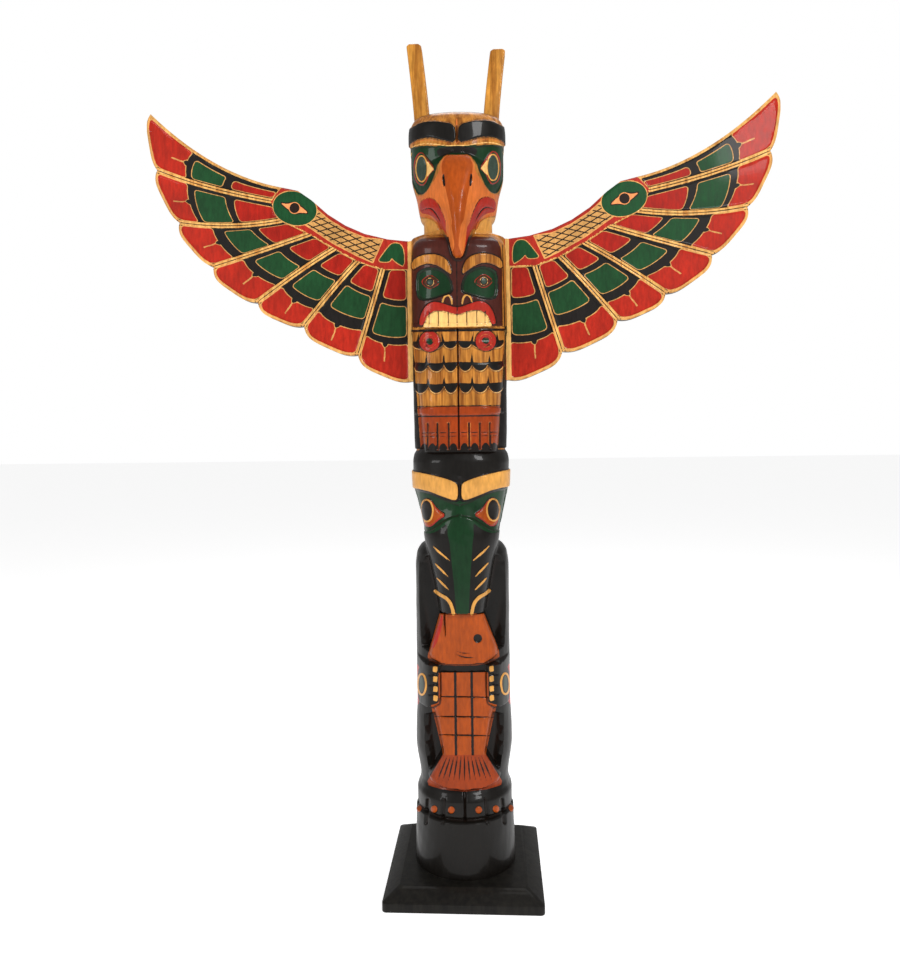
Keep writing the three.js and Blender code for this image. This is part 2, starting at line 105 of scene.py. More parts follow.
def cut_corners(points: Grid, passes: int, closed: bool) -> Grid:
    """Rounds a line of points by cutting its corners, keeping the ends of an open one."""
    for _ in range(passes):
        following = np.roll(points, -1, axis=0)
        near = 0.75 * points + 0.25 * following
        far = 0.25 * points + 0.75 * following
        cut = np.stack([near, far], axis=1).reshape(-1, points.shape[1])
        points = cut if closed else np.vstack([points[:1], cut[:-2], points[-1:]])
    return points


class Side(Enum):
    """Where a shape is drawn."""

    BOTH = "on the right and mirrored on the left"
    ONCE = "as given"


BOTH, ONCE = Side.BOTH, Side.ONCE


@dataclass(frozen=True)
class Shape:
    """Anything drawn on the front. Its distance is negative inside, in millimetres."""

    side: Side = BOTH

    def distance(self, x: Grid, z: Grid) -> Grid:
        """The distance of each point from the shape's edge.

        Args:
            x: places across the front.
            z: heights.

        Returns:
            Signed distances, cut off far outside.
        """
        x = np.abs(x) if self.side is BOTH else x
        low, high = self.span()
        near = (z > low - FAR) & (z < high + FAR)
        found = np.full(x.shape, FAR)
        found[near] = np.minimum(self.measure(x[near], z[near]), FAR)
        return found

    def span(self) -> tuple[float, float]:
        """The lowest and highest height that the shape reaches."""
        raise NotImplementedError

    def measure(self, x: Grid, z: Grid) -> Grid:
        """The distance without the cut-off."""
        raise NotImplementedError


@dataclass(frozen=True)
class Patch(Shape):
    """A closed outline with its corners rounded."""

    points: Points = ()
    rounding: int = 1

    def _outline(self) -> Grid:
        """The rounded outline as an array of points."""
        return cut_corners(np.array(self.points, float), self.rounding, closed=True)

    def span(self) -> tuple[float, float]:
        """The lowest and highest point."""
        heights = [z for _, z in self.points]
        return min(heights), max(heights)

    def measure(self, x: Grid, z: Grid) -> Grid:
        """Distance to the nearest side, negative inside."""
        outline = self._outline()
        nearest = np.full(x.shape, 1e6)
        inside = np.zeros(x.shape, bool)
        for (ax, az), (bx, bz) in zip(outline, np.roll(outline, -1, axis=0)):
            run, rise = bx - ax, bz - az
            along = np.clip(((x - ax) * run + (z - az) * rise) / (run * run + rise * rise + 1e-12), 0, 1)
            nearest = np.minimum(nearest, np.hypot(x - ax - along * run, z - az - along * rise))
            if rise:
                crosses = (az > z) != (bz > z)
                inside ^= crosses & (x < ax + (z - az) * run / rise)
        return np.where(inside, -nearest, nearest)


@dataclass(frozen=True)
class Oval(Shape):
    """An ellipse, turned by an angle in degrees."""

    x: float = 0.0
    z: float = 0.0
    across: float = 1.0
    up: float = 1.0
    turn: float = 0.0

    def span(self) -> tuple[float, float]:
        """The band of heights that holds it at any turn."""
        reach = max(self.across, self.up)
        return self.z - reach, self.z + reach

    def measure(self, x: Grid, z: Grid) -> Grid:
        """Close to the true distance near the edge."""
        angle = math.radians(self.turn)
        u = (x - self.x) * math.cos(angle) + (z - self.z) * math.sin(angle)
        w = (z - self.z) * math.cos(angle) - (x - self.x) * math.sin(angle)
        size = np.hypot(u / self.across, w / self.up) + 1e-6
        slope = np.hypot(u / self.across**2, w / self.up**2) + 1e-6
        return np.maximum((size - 1.0) * size / slope, -min(self.across, self.up))


@dataclass(frozen=True)
class Line(Shape):
    """A brush line or a cut of a width, thinner towards its ends by taper from 0 to 1."""

    points: Points = ()
    width: float = 3.0
    taper: float = 0.0
    rounding: int = 2

    def span(self) -> tuple[float, float]:
        """The lowest and highest point, with the width."""
        heights = [z for _, z in self.points]
        return min(heights) - self.width, max(heights) + self.width

    def measure(self, x: Grid, z: Grid) -> Grid:
        """Distance to the line's edge."""
        path = cut_corners(
            np.array(self.points, float), self.rounding if len(self.points) > 2 else 0, closed=False
        )
        steps = np.hypot(*np.diff(path, axis=0).T)
        starts = np.concatenate([[0.0], np.cumsum(steps)])
        best = np.full(x.shape, 1e6)
        for i, ((ax, az), (bx, bz)) in enumerate(zip(path[:-1], path[1:])):
            run, rise = bx - ax, bz - az
            along = np.clip(((x - ax) * run + (z - az) * rise) / (run * run + rise * rise + 1e-12), 0, 1)
            place = (starts[i] + along * steps[i]) / starts[-1]
            half = 0.5 * self.width * (1.0 - self.taper * np.abs(2.0 * place - 1.0) ** 2)
            best = np.minimum(best, np.hypot(x - ax - along * run, z - az - along * rise) - half)
        return best


@dataclass(frozen=True)
class Rim(Shape):
    """A band of a width along the edge of another shape, outside it by default."""

    of: Shape = field(default_factory=Shape)
    width: float = 2.0
    centre: float = 0.0

    def distance(self, x: Grid, z: Grid) -> Grid:
        """Distance to the band's edge."""
        return np.abs(self.of.distance(x, z) - self.centre) - 0.5 * self.width


# Paints


class Coat(Enum):
    """The coats of paint on the carving. Each number is the row that keeps the coat's distances."""

    BLACK = 0
    ORANGE = 1
    RUST = 2
    MAROON = 3
    GREEN = 4
    RED = 5
    GOLD = 6
    LID = 7
    DARK = 8
    LIGHT = 9
    # Grey-green of the pupils and the forearm discs; on the pupils its greyness is partly a painted
    # reflection.
    IRIS = 10
    BEAK = 11


COAT_NAMES = ("coat_a", "coat_b", "coat_c", "coat_d")


@dataclass
class PaintJob:
    """Which coat covers which places of a mesh, kept as distances from each coat's edge.

    Its x and z are where each point of the mesh lies in the drawing.
    """

    x: Grid
    z: Grid

    def __post_init__(self) -> None:
        """Starts with bare wood."""
        self.distances = np.full((len(COAT_NAMES) * 3, self.x.size), FAR)

    def lay(self, coat: Coat, distance: Grid) -> None:
        """Adds a painted place to a coat."""
        row = self.distances[coat.value]
        np.minimum(row, distance.ravel(), out=row)

    def mask(self, coat: Coat, distance: Grid) -> None:
        """Wipes a coat where the distance is negative."""
        row = self.distances[coat.value]
        np.maximum(row, -distance.ravel(), out=row)

    def brush(
        self, coat: Coat, *shapes: Shape, grow: float = 0.0, within: Grid | float = -math.inf
    ) -> None:
        """Lays a coat inside each shape, grown by a margin, where the distance within is negative too."""
        for shape in shapes:
            self.lay(coat, np.maximum(shape.distance(self.x, self.z) - grow, within))

    def wipe(self, coat: Coat, *shapes: Shape, grow: float = 0.0) -> None:
        """Wipes a coat inside each shape, grown by a margin."""
        for shape in shapes:
            self.mask(coat, shape.distance(self.x, self.z) - grow)

    def store(self, mesh: bpy.types.Mesh) -> None:
        """Writes the distances to the mesh, three coats to an attribute."""
        for i, name in enumerate(COAT_NAMES):
            attribute = mesh.attributes.new(name, "FLOAT_VECTOR", "POINT")
            attribute.data.foreach_set(
                "vector", self.distances[3 * i : 3 * i + 3].T.astype(np.float32).ravel()
            )


# The log


@dataclass(frozen=True)
class Mass:
    """A form that stands out from the log: depths of its face from the middle out, height by height."""

    heights: tuple[float, ...]
    sections: tuple[Points, ...]
    root: float = 10.0
    softness: int = 2
    edge: Callable[[float], tuple[float, float]] | None = None

    def face(self, z: float) -> Grid:
        """The face's section at a height, from the middle to its edge."""
        knots = np.array(self.heights)
        table = np.array(self.sections, float)
        at = np.array([z])
        return np.array(
            [[even_curve(at, knots, table[:, i, j])[0] for j in (0, 1)] for i in range(table.shape[1])]
        )

    def reach(self, z: Grid, theta: Grid) -> Grid:
        """How far the form reaches from the axis.

        Args:
            z: heights of the rows.
            theta: directions from the front, in radians.

        Returns:
            One row of distances for each height, 0 where the form isn't.
        """
        found = np.zeros((len(z), len(theta)))
        for row, height in enumerate(z):
            if not self.heights[0] <= height <= self.heights[-1]:
                continue
            section = self.face(height)
            for sign in (-1, 1):
                turned = theta * sign >= 0
                found[row, turned] = self._half(section, height, sign, np.abs(theta[turned]))
        return found

    def _half(self, section: Grid, height: float, sign: int, theta: Grid) -> Grid:
        """One side of a row."""
        limit = section[-1, 0]
        if self.edge is not None:
            low, high = self.edge(height)
            limit = min(limit, high if sign > 0 else -low)
            if limit <= 0:
                return np.zeros(len(theta))
        inner = section[section[:, 0] < limit]
        edge_depth = np.interp(limit, section[:, 0], section[:, 1])
        points = np.vstack([inner, [[limit, edge_depth], [limit, self.root]]])
        middle = np.array([[-points[1, 0], points[1, 1]]])
        points = cut_corners(np.vstack([middle, points]), self.softness, closed=False)
        points = points[points[:, 0] >= -0.5]
        angles = np.arctan2(points[:, 0], points[:, 1])
        return np.interp(theta, angles, np.hypot(points[:, 0], points[:, 1]), right=0.0)


def row_span(outline: Points) -> Callable[[float], tuple[float, float]]:
    """How far a closed outline reaches to the left and to the right at a height."""
    ring = np.array(outline, float)

    def span(z: float) -> tuple[float, float]:
        """The leftmost and rightmost crossing at this height."""
        hits = []
        for (ax, az), (bx, bz) in zip(ring, np.roll(ring, -1, axis=0)):
            if min(az, bz) <= z <= max(az, bz) and az != bz:
                hits.append(ax + (z - az) * (bx - ax) / (bz - az))
        return (min(hits), max(hits)) if hits else (1.0, -1.0)

    return span


def mirrored(half: Points) -> Points:
    """A closed outline from its right half, listed from the top down."""
    return tuple(half) + tuple((-x, z) for x, z in reversed(half))


@dataclass(frozen=True)
class Cut:
    """A place that stands proud of the surface round it by lift, or below it where lift is negative."""

    shape: Shape
    lift: float
    slope: float = 1.1
    dome: float = 0.0


@dataclass(frozen=True)
class LogPart:
    """A stretch of the log that is one mesh."""

    name: str
    low: float
    high: float


@dataclass
class CarvedLog:
    """The carved log: its core, the masses on its front, the cuts in it and the paint on them."""

    row_step: float = 1.55
    front_step: float = 1.05
    back_step: float = 2.6
    fine_angle: float = 102.0
    flank_angle: float = 60.0
    flank_radius: float = 84.0
    belly_depth: float = 38.0
    lap_depth: float = 46.0
    tool_marks: float = 0.35
    neck_height: float = 1148.0
    # The three neck sizes that follow paint the neck lighter, partly its own gold and partly painted light:
    # a gold band round it and a lifted dark wash.
    neck_light_band: float = 15.0
    neck_light_lift: float = 0.85
    neck_light_spread: float = 17.0
    beak_foot: float = 1076.0
    beak_depth: float = 95.5
    feather_half_width: float = 79.0
    hollow_depth: float = 1.6
    view_distance: float = 1425.0
    view_height: float = 781.0
    turn: float = 2.2
    sideways: Points = ((486, 0), (600, 1.0), (650, 2.6), (760, 2.6), (764, 2.8), (1141, 2.8), (1150, 0))
    drawn_depths: Points = (
        (30, 86), (480, 86), (500, 90), (760, 88), (768, 84), (970, 84), (976, 89), (1140, 89), (1152, 75),
        (1400, 75),
    )
    stations: tuple[tuple[float, float, float, float, float], ...] = (
        (30, 90, 90, 90, 2), (124, 87.5, 87.5, 87.5, 2), (128, 81, 78, 82, 2),
        (135, 85, 84, 83, 2), (158, 85, 86, 84, 2.2), (171, 80.5, 80, 83, 2.2),
        (181, 79, 74, 83, 2.2), (245, 86.5, 78, 85, 2.3), (335, 84, 80, 86, 2.3),
        (555, 84, 74, 84, 2.3), (580, 81, 70, 80, 2.2), (593, 74, 66, 74, 2.2),
        (601, 65, 64, 68, 2.2), (640, 74, 78, 71, 2.3), (680, 81.5, 84, 76, 2.4),
        (706, 85.5, 88, 81, 2.5), (742, 86.5, 87, 82, 2.5), (756, 84.5, 83, 80, 2.4),
        (765, 80, 76, 78, 2.4), (767, 83, 42, 84, 2.4), (965, 86, 50, 85, 2.4),
        (975, 87, 60, 86, 2.4), (1143, 85, 46, 82, 2.3), (1153, 62, 46, 66, 2.1),
        (1170, 62, 54, 66, 2.1), (1180, 67.5, 60, 69, 2.1), (1215, 74, 66, 74, 2.2),
        (1253, 83, 72, 80, 2.3), (1285, 85, 78, 82, 2.4), (1326, 85, 79, 82, 2.5),
        (1342, 83.5, 73, 80, 2.4), (1352, 79, 60, 75, 2.4),
    )
    parts: tuple[LogPart, ...] = (
        LogPart("bear_body", 30.0, 486.0),
        LogPart("bear_head", 486.0, 973.0),
        LogPart("eagle", 973.0, 1352.0),
    )
    creases: tuple[float, ...] = (124, 128, 383, 486, 594, 600, 760, 765, 767, 973, 1141, 1151, 1274)

    belly: Points = (
        (77, 560), (74, 470), (70, 404), (-70, 404), (-74, 470), (-77, 560), (-62, 582), (62, 582),
    )
    lap: Points = ((68, 318), (67, 250), (60, 196), (-60, 196), (-67, 250), (-68, 318))
    forearm: Points = (
        (42, 393), (50, 397), (64, 396), (90, 408), (100, 400), (100, 322), (90, 317), (64, 318), (50, 325),
        (42, 331),
    )
    fish_head: Points = (
        (36, 484), (60, 422), (61, 411), (55, 405), (40, 399), (16, 396), (-16, 396), (-40, 398),
        (-58, 405), (-60, 412), (-39, 484),
    )
    fish_body: Points = (
        (42, 383), (43, 334), (56, 330), (47, 296), (36, 246), (36, 240), (-36, 240), (-36, 246),
        (-47, 296), (-56, 330), (-43, 334), (-42, 383),
    )
    fish_tail: Points = (
        (35, 245), (63, 198), (61, 192), (38, 185), (0, 181), (-38, 185), (-61, 192), (-63, 198),
        (-35, 245),
    )
    fish_neck: Points = ((41, 400), (41, 380), (-41, 380), (-41, 400))

    fish_face: Mass = Mass(
        (176, 240, 400, 490),
        (
            ((0, 84), (30, 82), (66, 74)), ((0, 83), (30, 82), (66, 74)),
            ((0, 84), (30, 83), (66, 74)), ((0, 88), (30, 87), (66, 78)),
        ),
        root=20.0,
    )
    forearm_face: Mass = Mass(
        (300, 425),
        (((0, 86), (52, 86), (67, 71), (83, 27)),) * 2,
        root=0.0,
    )
    snout: Mass = Mass(
        (486, 525, 570, 619, 650, 682),
        (
            ((0, 98), (10, 98), (28, 94), (41, 66)), ((0, 98), (13, 98), (33, 93), (48, 62)),
            ((0, 97), (16, 97), (38, 91), (57, 58)), ((0, 95), (20, 95), (44, 86), (67, 56)),
            ((0, 90), (18, 88), (42, 76), (68, 50)), ((0, 82), (12, 81), (34, 73), (62, 50)),
        ),
    )
    chest: Mass = Mass(
        (973, 1110, 1122, 1141),
        (
            ((0, 91), (40, 89), (68, 77), (84, 52)), ((0, 90), (40, 88), (68, 76), (84, 50)),
            ((0, 86), (40, 84), (68, 72), (83, 46)), ((0, 58), (36, 55), (60, 44), (76, 24)),
        ),
    )
    legs: Mass = Mass(
        (760, 822, 973),
        (
            ((0, 87), (30, 86), (52, 80), (64, 60)), ((0, 86), (34, 85), (57, 78), (69, 56)),
            ((0, 85), (40, 84), (66, 74), (81, 50)),
        ),
    )
    beak: Mass = Mass(
        (1087, 1093, 1108, 1130, 1160, 1180, 1192, 1216, 1246, 1265, 1274),
        (
            ((0, 90), (1.5, 90), (3, 89), (5, 86), (6, 80)),
            ((0, 102), (3, 101), (6, 98), (9, 92), (11, 80)),
            ((0, 110), (4, 109), (9, 104), (13, 95), (15, 78)),
            ((0, 115), (5, 114), (13, 104), (19, 88), (22, 66)),
            ((0, 117), (7, 116), (18, 102), (28, 78), (35, 50)),
            ((0, 116), (9, 115), (24, 97), (40, 68), (54, 36)),
            ((0, 115), (12, 114), (30, 92), (50, 62), (64, 34)),
            ((0, 110), (18, 109), (36, 86), (56, 60), (69, 34)),
            ((0, 102), (25, 100), (38, 84), (52, 68), (66, 46)),
            ((0, 92), (20, 90), (30, 80), (40, 70), (50, 58)),
            ((0, 78), (10, 77), (18, 75), (26, 70), (34, 62)),
        ),
    )

    bear_brow: Points = (
        (102, 733), (58, 724), (37, 719), (17, 713), (5, 707), (3, 700), (3, 683), (8, 677), (30, 685),
        (60, 697), (102, 703),
    )
    bear_socket: Points = (
        (90, 698), (60, 694), (30, 682), (12, 674), (-2, 671), (-2, 650), (18, 648), (36, 636), (52, 625),
        (66, 624), (90, 640),
    )
    bear_green: Points = (
        (96, 700), (64, 695), (34, 683), (8, 673), (-4, 680), (-4, 648), (8, 647), (16, 643), (26, 636),
        (38, 627), (50, 622), (60, 622), (70, 627), (96, 650),
    )
    bear_eye: Points = (
        (67, 660), (65, 675), (58, 682), (49, 678), (38, 662), (24, 653), (38, 645), (50, 634), (59, 634),
        (65, 645),
    )
    chest_brow: Points = (
        (77, 1087), (62, 1096), (43, 1099), (25, 1095), (13, 1084), (8, 1062), (18, 1069), (31, 1078),
        (46, 1083), (62, 1080), (77, 1070),
    )
    chest_socket: Points = (
        (69, 1064), (60, 1072), (44, 1076), (28, 1072), (15, 1062), (8, 1047), (8, 1032), (24, 1028),
        (46, 1021), (62, 1020), (69, 1028),
    )
    chest_eye: Points = (
        (61, 1051), (52, 1059), (46, 1062), (39, 1059), (29, 1050), (38, 1043), (46, 1040), (53, 1043),
    )
    lip: Points = (
        (66, 977), (63, 995), (53, 1012), (40, 1018), (24, 1014), (8, 1008), (0, 1007), (0, 995), (8, 996),
        (24, 1001.6), (40, 1002), (52, 993), (58, 977),
    )
    eagle_brow: Points = (
        (96, 1313), (78, 1320), (62, 1329), (45, 1331), (26, 1329.5), (8, 1326), (1.8, 1317), (1.8, 1292),
        (22, 1297), (41, 1302), (57, 1302), (72, 1298), (96, 1283),
    )
    eagle_green: Points = (
        (98, 1282), (72, 1287), (56, 1289), (30, 1287), (8, 1284), (8, 1276), (22, 1270), (33, 1258),
        (38, 1242), (45, 1224), (55, 1207), (67, 1203), (76, 1210), (98, 1244),
    )
    eagle_eye: Points = (
        (74, 1262), (68, 1275), (60, 1278), (53, 1268), (38, 1248), (49, 1239), (55, 1223), (62, 1219),
        (72, 1226), (77.5, 1243),
    )

    feather_edges: tuple[float, ...] = (1.0, 24.0, 51.0, 79.0)
    feather_rows: tuple[tuple[float, float], ...] = ((947, 10), (911, 13), (875, 14))

    def columns(self) -> Grid:
        """Directions of the columns from the front, in radians, close together on the carved side."""
        fine = int(round(2 * self.fine_angle / self.front_step))
        front = np.linspace(-self.fine_angle, self.fine_angle, fine + 1)
        coarse = int(round((180 - self.fine_angle) / self.back_step))
        back = np.linspace(self.fine_angle, 180, coarse + 1)[1:]
        return np.radians(np.concatenate([-back[::-1], front, back]))

    def rows(self, part: LogPart) -> Grid:
        """Heights of the rows of a part, with a close pair at each crease."""
        marks = [part.low]
        for crease in sorted(self.creases):
            if part.low + 1 < crease < part.high - 1:
                marks += [crease - 0.35, crease + 0.35]
        marks.append(part.high)
        rows = [part.low]
        for a, b in zip(marks[:-1], marks[1:]):
            count = max(1, int(round((b - a) / self.row_step)))
            rows += list(np.linspace(a, b, count + 1)[1:])
        return np.array(rows)

    def core(self, z: Grid, theta: Grid) -> Grid:
        """Radius of the bare log."""
        table = np.array(self.stations, float)
        half, front, back, square = (even_curve(z, table[:, 0], table[:, i])[:, None] for i in (1, 2, 3, 4))
        ahead = np.cos(theta)[None, :]
        reach = np.where(ahead > 0, front, back)
        across = (np.abs(np.sin(theta))[None, :] / half) ** square
        along = (np.abs(ahead) / reach) ** square
        return (across + along) ** (-1.0 / square)

    def drawing(self, radius: Grid, theta: Grid, z: Grid) -> tuple[Grid, Grid]:
        """Where each point of the surface lies in the drawing.

        The patterns are drawn as the front view shows them, on a sheet at one depth. In front a point
        goes to the sheet along the line of sight. Round the flanks and the back x runs on with the turn.

        Args:
            radius: the distance of each point from the axis.
            theta: its direction from the front, in radians.
            z: its height.

        Returns:
            The x and the z to use in the drawing.
        """
        turn = np.abs(theta)
        start = math.radians(self.flank_angle)
        past = np.maximum(turn - start, 0.0)
        run_on = self.flank_radius * (
            math.sin(start) + past * math.cos(start) - np.sin(np.maximum(turn, start))
        )
        heights, depths = np.array(self.drawn_depths, float).T
        sheet = self.view_distance - np.interp(z, heights, depths)
        depth = np.maximum(radius * np.cos(np.minimum(turn, math.radians(85.0))), 5.0)
        scale = sheet / (self.view_distance - depth)
        levels, shifts = np.array(self.sideways, float).T
        x = (radius * np.sin(turn) * scale + run_on) * np.sign(theta) + np.interp(z, levels, shifts)
        return x, self.view_height + (z - self.view_height) * scale

    def carve(self, z: Grid, theta: Grid) -> Grid:
        """The carved surface.

        Args:
            z: heights of the rows.
            theta: directions of the columns, in radians.

        Returns:
            The radius of each point.
        """
        ahead = np.maximum(np.cos(theta), 0.02)[None, :]
        turned = np.broadcast_to(theta[None, :], (len(z), len(theta)))
        height = np.broadcast_to(z[:, None], turned.shape)
        front = np.cos(turned) > 0.02
        radius = self.core(z, theta)
        for outline, depth in ((self.belly, self.belly_depth), (self.lap, self.lap_depth)):
            floor = depth / ahead
            inside = Patch(ONCE, outline).distance(radius * np.sin(turned), height)
            share = smooth_step(-1.6, 0.4, -inside) * front
            radius += (np.minimum(radius, floor) - radius) * share
        for mass, blend in ((self.chest, 3.0), (self.legs, 2.0), (self.snout, 5.0), (self.beak, 5.0)):
            radius = smooth_top(radius, mass.reach(z, theta), blend)
        for outline in (self.fish_head, self.fish_body, self.fish_tail):
            fish = replace(self.fish_face, edge=row_span(outline))
            radius = np.maximum(radius, fish.reach(z, theta))
        neck = Mass((380, 400), (((0, 74), (30, 73), (41, 72)),) * 2, 20.0, 1, row_span(self.fish_neck))
        radius = np.maximum(radius, neck.reach(z, theta))
        face = self.forearm_face.reach(z, theta)
        inside = Patch(BOTH, self.forearm).distance(self.drawing(face, turned, height)[0], height)
        radius = np.where(face > radius, radius + (face - radius) * smooth_step(-0.4, 2.0, -inside), radius)
        x, drawn = self.drawing(radius, turned, height)
        for cut in self.cuts():
            radius = radius + self._lift(cut, x, drawn)
        radius = radius + self._feather_shingles(x, drawn) * front
        return radius + self._hand_marks(turned, height)

    def _lift(self, cut: Cut, x: Grid, z: Grid) -> Grid:
        """How far one cut moves the surface."""
        distance = cut.shape.distance(x, z)
        rise = smooth_step(-cut.slope * 0.35, cut.slope * 0.65, -distance)
        dome = cut.dome * np.sqrt(np.clip(-distance / 8.0, 0.0, 1.0)) if cut.dome else 0.0
        return cut.lift * rise + dome

    def _feather_shingles(self, x: Grid, z: Grid) -> Grid:
        """Three rows of short feathers on each leg, each thicker towards its tip."""
        lift = np.zeros(x.shape)
        within = smooth_step(-1.0, 1.0, self.feather_half_width - np.abs(x))
        tops = [968.0, *[top - drop for top, drop in self.feather_rows]]
        for (top, drop), start in zip(self.feather_rows, tops):
            tip = self._tip_height(np.abs(x), top, drop)
            along = np.clip((start - z) / (start - tip), 0.0, 1.0)
            inside = smooth_step(-0.5, 0.5, z - tip) * within
            lift += np.where(z < start + 12, (1.0 + 1.6 * along) * inside, 0.0) * (z > 840)
            lift += np.where(z >= start + 12, 1.0, 0.0) * (z < 969) * within * 0.3
        return lift

    def _tip_height(self, across: Grid, top: float, drop: float) -> Grid:
        """The lower edge of a row of rounded feather tips."""
        tip = np.full(across.shape, top)
        for a, b in zip(self.feather_edges[:-1], self.feather_edges[1:]):
            u = np.clip((across - (a + b) / 2) / ((b - a) / 2), -1, 1)
            tip = np.where((across >= a) & (across < b), top - drop * np.sqrt(1 - u**2) ** 1.3, tip)
        return tip

    def _hand_marks(self, theta: Grid, z: Grid) -> Grid:
        """Shallow facets left by the gouge and the rasp."""
        slow = np.sin(theta * 7.0 + np.sin(z / 31.0) * 1.7) * np.sin(z / 17.0 + np.sin(theta * 5.0) * 1.3)
        quick = np.sin(theta * 23.0 + z / 13.0) * np.sin(z / 7.3 - theta * 9.0)
        return self.tool_marks * (0.7 * slow + 0.3 * quick)

    def cuts(self) -> list[Cut]:
        """The carving, in the order in which it is cut."""
        lip = self.mouth_ring()
        cuts = [
            Cut(Patch(BOTH, self.bear_brow), 3.0),
            Cut(Patch(BOTH, self.eagle_brow), 2.6),
            Cut(Patch(BOTH, self.chest_brow), 3.0),
            Cut(lip, 2.6),
            Cut(Oval(BOTH, 48, 950, 17.5, 17.5), 2.2),
            Cut(Patch(ONCE, ((-78, 838), (78, 838), (78, 823), (-78, 823))), 2.4),
            Cut(Patch(BOTH, self.bear_socket), -3.2, 2.2),
            Cut(Patch(BOTH, self.eagle_green), -3.0, 2.0),
            Cut(Patch(BOTH, self.chest_socket), -3.2, 2.0),
            Cut(Patch(BOTH, self.bear_eye), 1.0, 1.6, 2.6),
            Cut(Patch(BOTH, self.eagle_eye), 1.0, 1.6, 2.6),
            Cut(Patch(BOTH, self.chest_eye), 1.0, 1.4, 2.2),
            Cut(self.bear_nostril(), 1.3, 1.4),
            Cut(self.chest_nostril(), 1.8, 1.2),
            Cut(Line(ONCE, ((0, 971), (0, 766)), 3.2), -3.4, 1.6),
            Cut(Line(ONCE, ((0, 1322), (0, 1294)), 2.6), -2.2, 1.6),
            Cut(Line(ONCE, ((0, 716), (0, 680)), 3.4), -2.4, 1.6),
            Cut(self.fish_eye(), -2.6, 1.6),
            Cut(self.fish_crack(), -5.0, 1.0),
            Cut(self.mouth_line(), -1.6, 1.4),
            Cut(Oval(BOTH, 23.4, 1228.5, 2.4, 11.4, -4.0), -3.0, 1.6),
            Cut(Oval(BOTH, 57, 661, 9.4, 17), 0.6, 1.0),
            Cut(Oval(BOTH, 61.5, 1249, 8.6, 21), 0.6, 1.0),
            Cut(self.forearm_disc(), 1.6, 1.2),
        ]
        cuts += [Cut(line, -1.2, 1.4) for line in self.smile()]
        cuts += [Cut(line, 0.9, 1.2) for line in self.whiskers()]
        cuts += [Cut(line, -2.0, 1.6) for line in self.scale_grooves()]
        cuts += [Cut(line, -1.8, 2.2) for line in self.fin_rays()]
        cuts += [Cut(line, -2.6, 1.6) for line in self.teeth_grooves()]
        cuts += [Cut(line, -3.0, 2.0) for line in self.toe_grooves()]
        cuts += [Cut(line, -0.9, 1.0) for line in self.knuckle_lines()]
        cuts += [Cut(line, -2.2, 1.4) for line in self.finger_gaps()]
        cuts += [Cut(nail, 0.8, 1.0, 1.0) for nail in self.finger_nails()]
        cuts += [Cut(gap, -4.2, 3.0) for gap in self.foot_gaps()]
        cuts += [Cut(claw, 1.2, 1.2, 2.4) for claw in self.foot_claws()]
        cuts += [Cut(feather, 1.4, 1.4) for feather in self.back_feathers()]
        cuts += [Cut(Line(ONCE, ((0, 178), (0, 129)), 5.0), -5.0, 3.0)]
        return cuts

    def mouth_ring(self) -> Patch:
        """The upper lip of the chest face, from one corner of the mouth to the other."""
        turn = self.lip.index((0, 1007))
        upper, lower = self.lip[: turn + 1], self.lip[turn + 1 :]
        across = [(-x, z) for x, z in reversed(upper[:-1])]
        back = [(-x, z) for x, z in reversed(lower)]
        return Patch(ONCE, (*upper, *across, *back, *lower[1:]), 2)

    def bear_nostril(self) -> Line:
        """The gold curve at the end of the bear's snout."""
        return Line(BOTH, ((46, 524), (39, 518), (29, 513), (21.5, 505.5), (17.5, 495), (15.6, 484)), 5.6)

    def chest_nostril(self) -> Line:
        """The small arches between the eyes of the chest face."""
        return Line(BOTH, ((8.8, 1013), (10, 1023), (16.4, 1029.5), (23, 1024), (25, 1016)), 3.2, 0.2)

    def fish_eye(self) -> Oval:
        """The fish's eye, on one side only."""
        return Oval(ONCE, 25.3, 441.6, 7.3, 7.6)

    def fish_crack(self) -> Patch:
        """The drying crack in the fish's head."""
        return Patch(
            ONCE, ((-33, 486), (-29.6, 486), (-29.9, 460), (-30.8, 437), (-31.2, 437), (-32.4, 460)), 0
        )

    def smile(self) -> list[Line]:
        """Two brush-thin lines of the fish's mouth."""
        return [
            Line(ONCE, ((-14, 416.5), (-4, 411), (4, 409.4), (18, 408.6)), 2.2, 0.7),
            Line(ONCE, ((-10, 420), (0, 416.6), (14, 416)), 1.8, 0.7),
        ]

    def mouth_line(self) -> Line:
        """The line between the lips of the eagle's mouth."""
        return Line(
            BOTH, ((66, 1176), (58, 1179), (50, 1181), (43, 1178), (35, 1167), (30, 1157)), 2.6, 0.6
        )

    def whiskers(self) -> list[Line]:
        """The gold strokes on the sides of the bear's snout."""
        return [
            Line(BOTH, ((47.5, 600), (38, 590), (20, 575.5)), 3.3, 0.6),
            Line(BOTH, ((45.6, 571), (36, 561), (23, 548)), 3.3, 0.6),
            Line(BOTH, ((42.5, 546), (34, 537), (22.5, 525.5)), 3.3, 0.6),
        ]

    def scale_grooves(self) -> list[Line]:
        """The grid of cuts on the fish's body."""
        upright = [Line(ONCE, ((x, 384), (x * 1.02, 244)), 4.3) for x in (-14, 14)]
        spans = ((342, 44), (308, 50), (276.5, 43))
        return upright + [Line(ONCE, ((-w, z + 1), (w, z - 1)), 2.7, 0.5) for z, w in spans]

    def fin_rays(self) -> list[Line]:
        """The fan of flutes on the fish's tail."""
        shares = np.linspace(-1, 1, 11)
        return [Line(ONCE, ((s * 29, 242), (s * 47, 199)), 3.3, 0.8) for s in shares]

    def teeth_grooves(self) -> list[Line]:
        """The gaps between the teeth of the chest face."""
        return [Line(BOTH, ((x, 1000), (x, 976)), 1.5) for x in (0, 16, 33, 48)]

    def toe_grooves(self) -> list[Line]:
        """The gaps between the eagle's toes."""
        return [Line(BOTH, ((x, 809), (x, 766)), 4.4) for x in (17.8, 36.8, 54)]

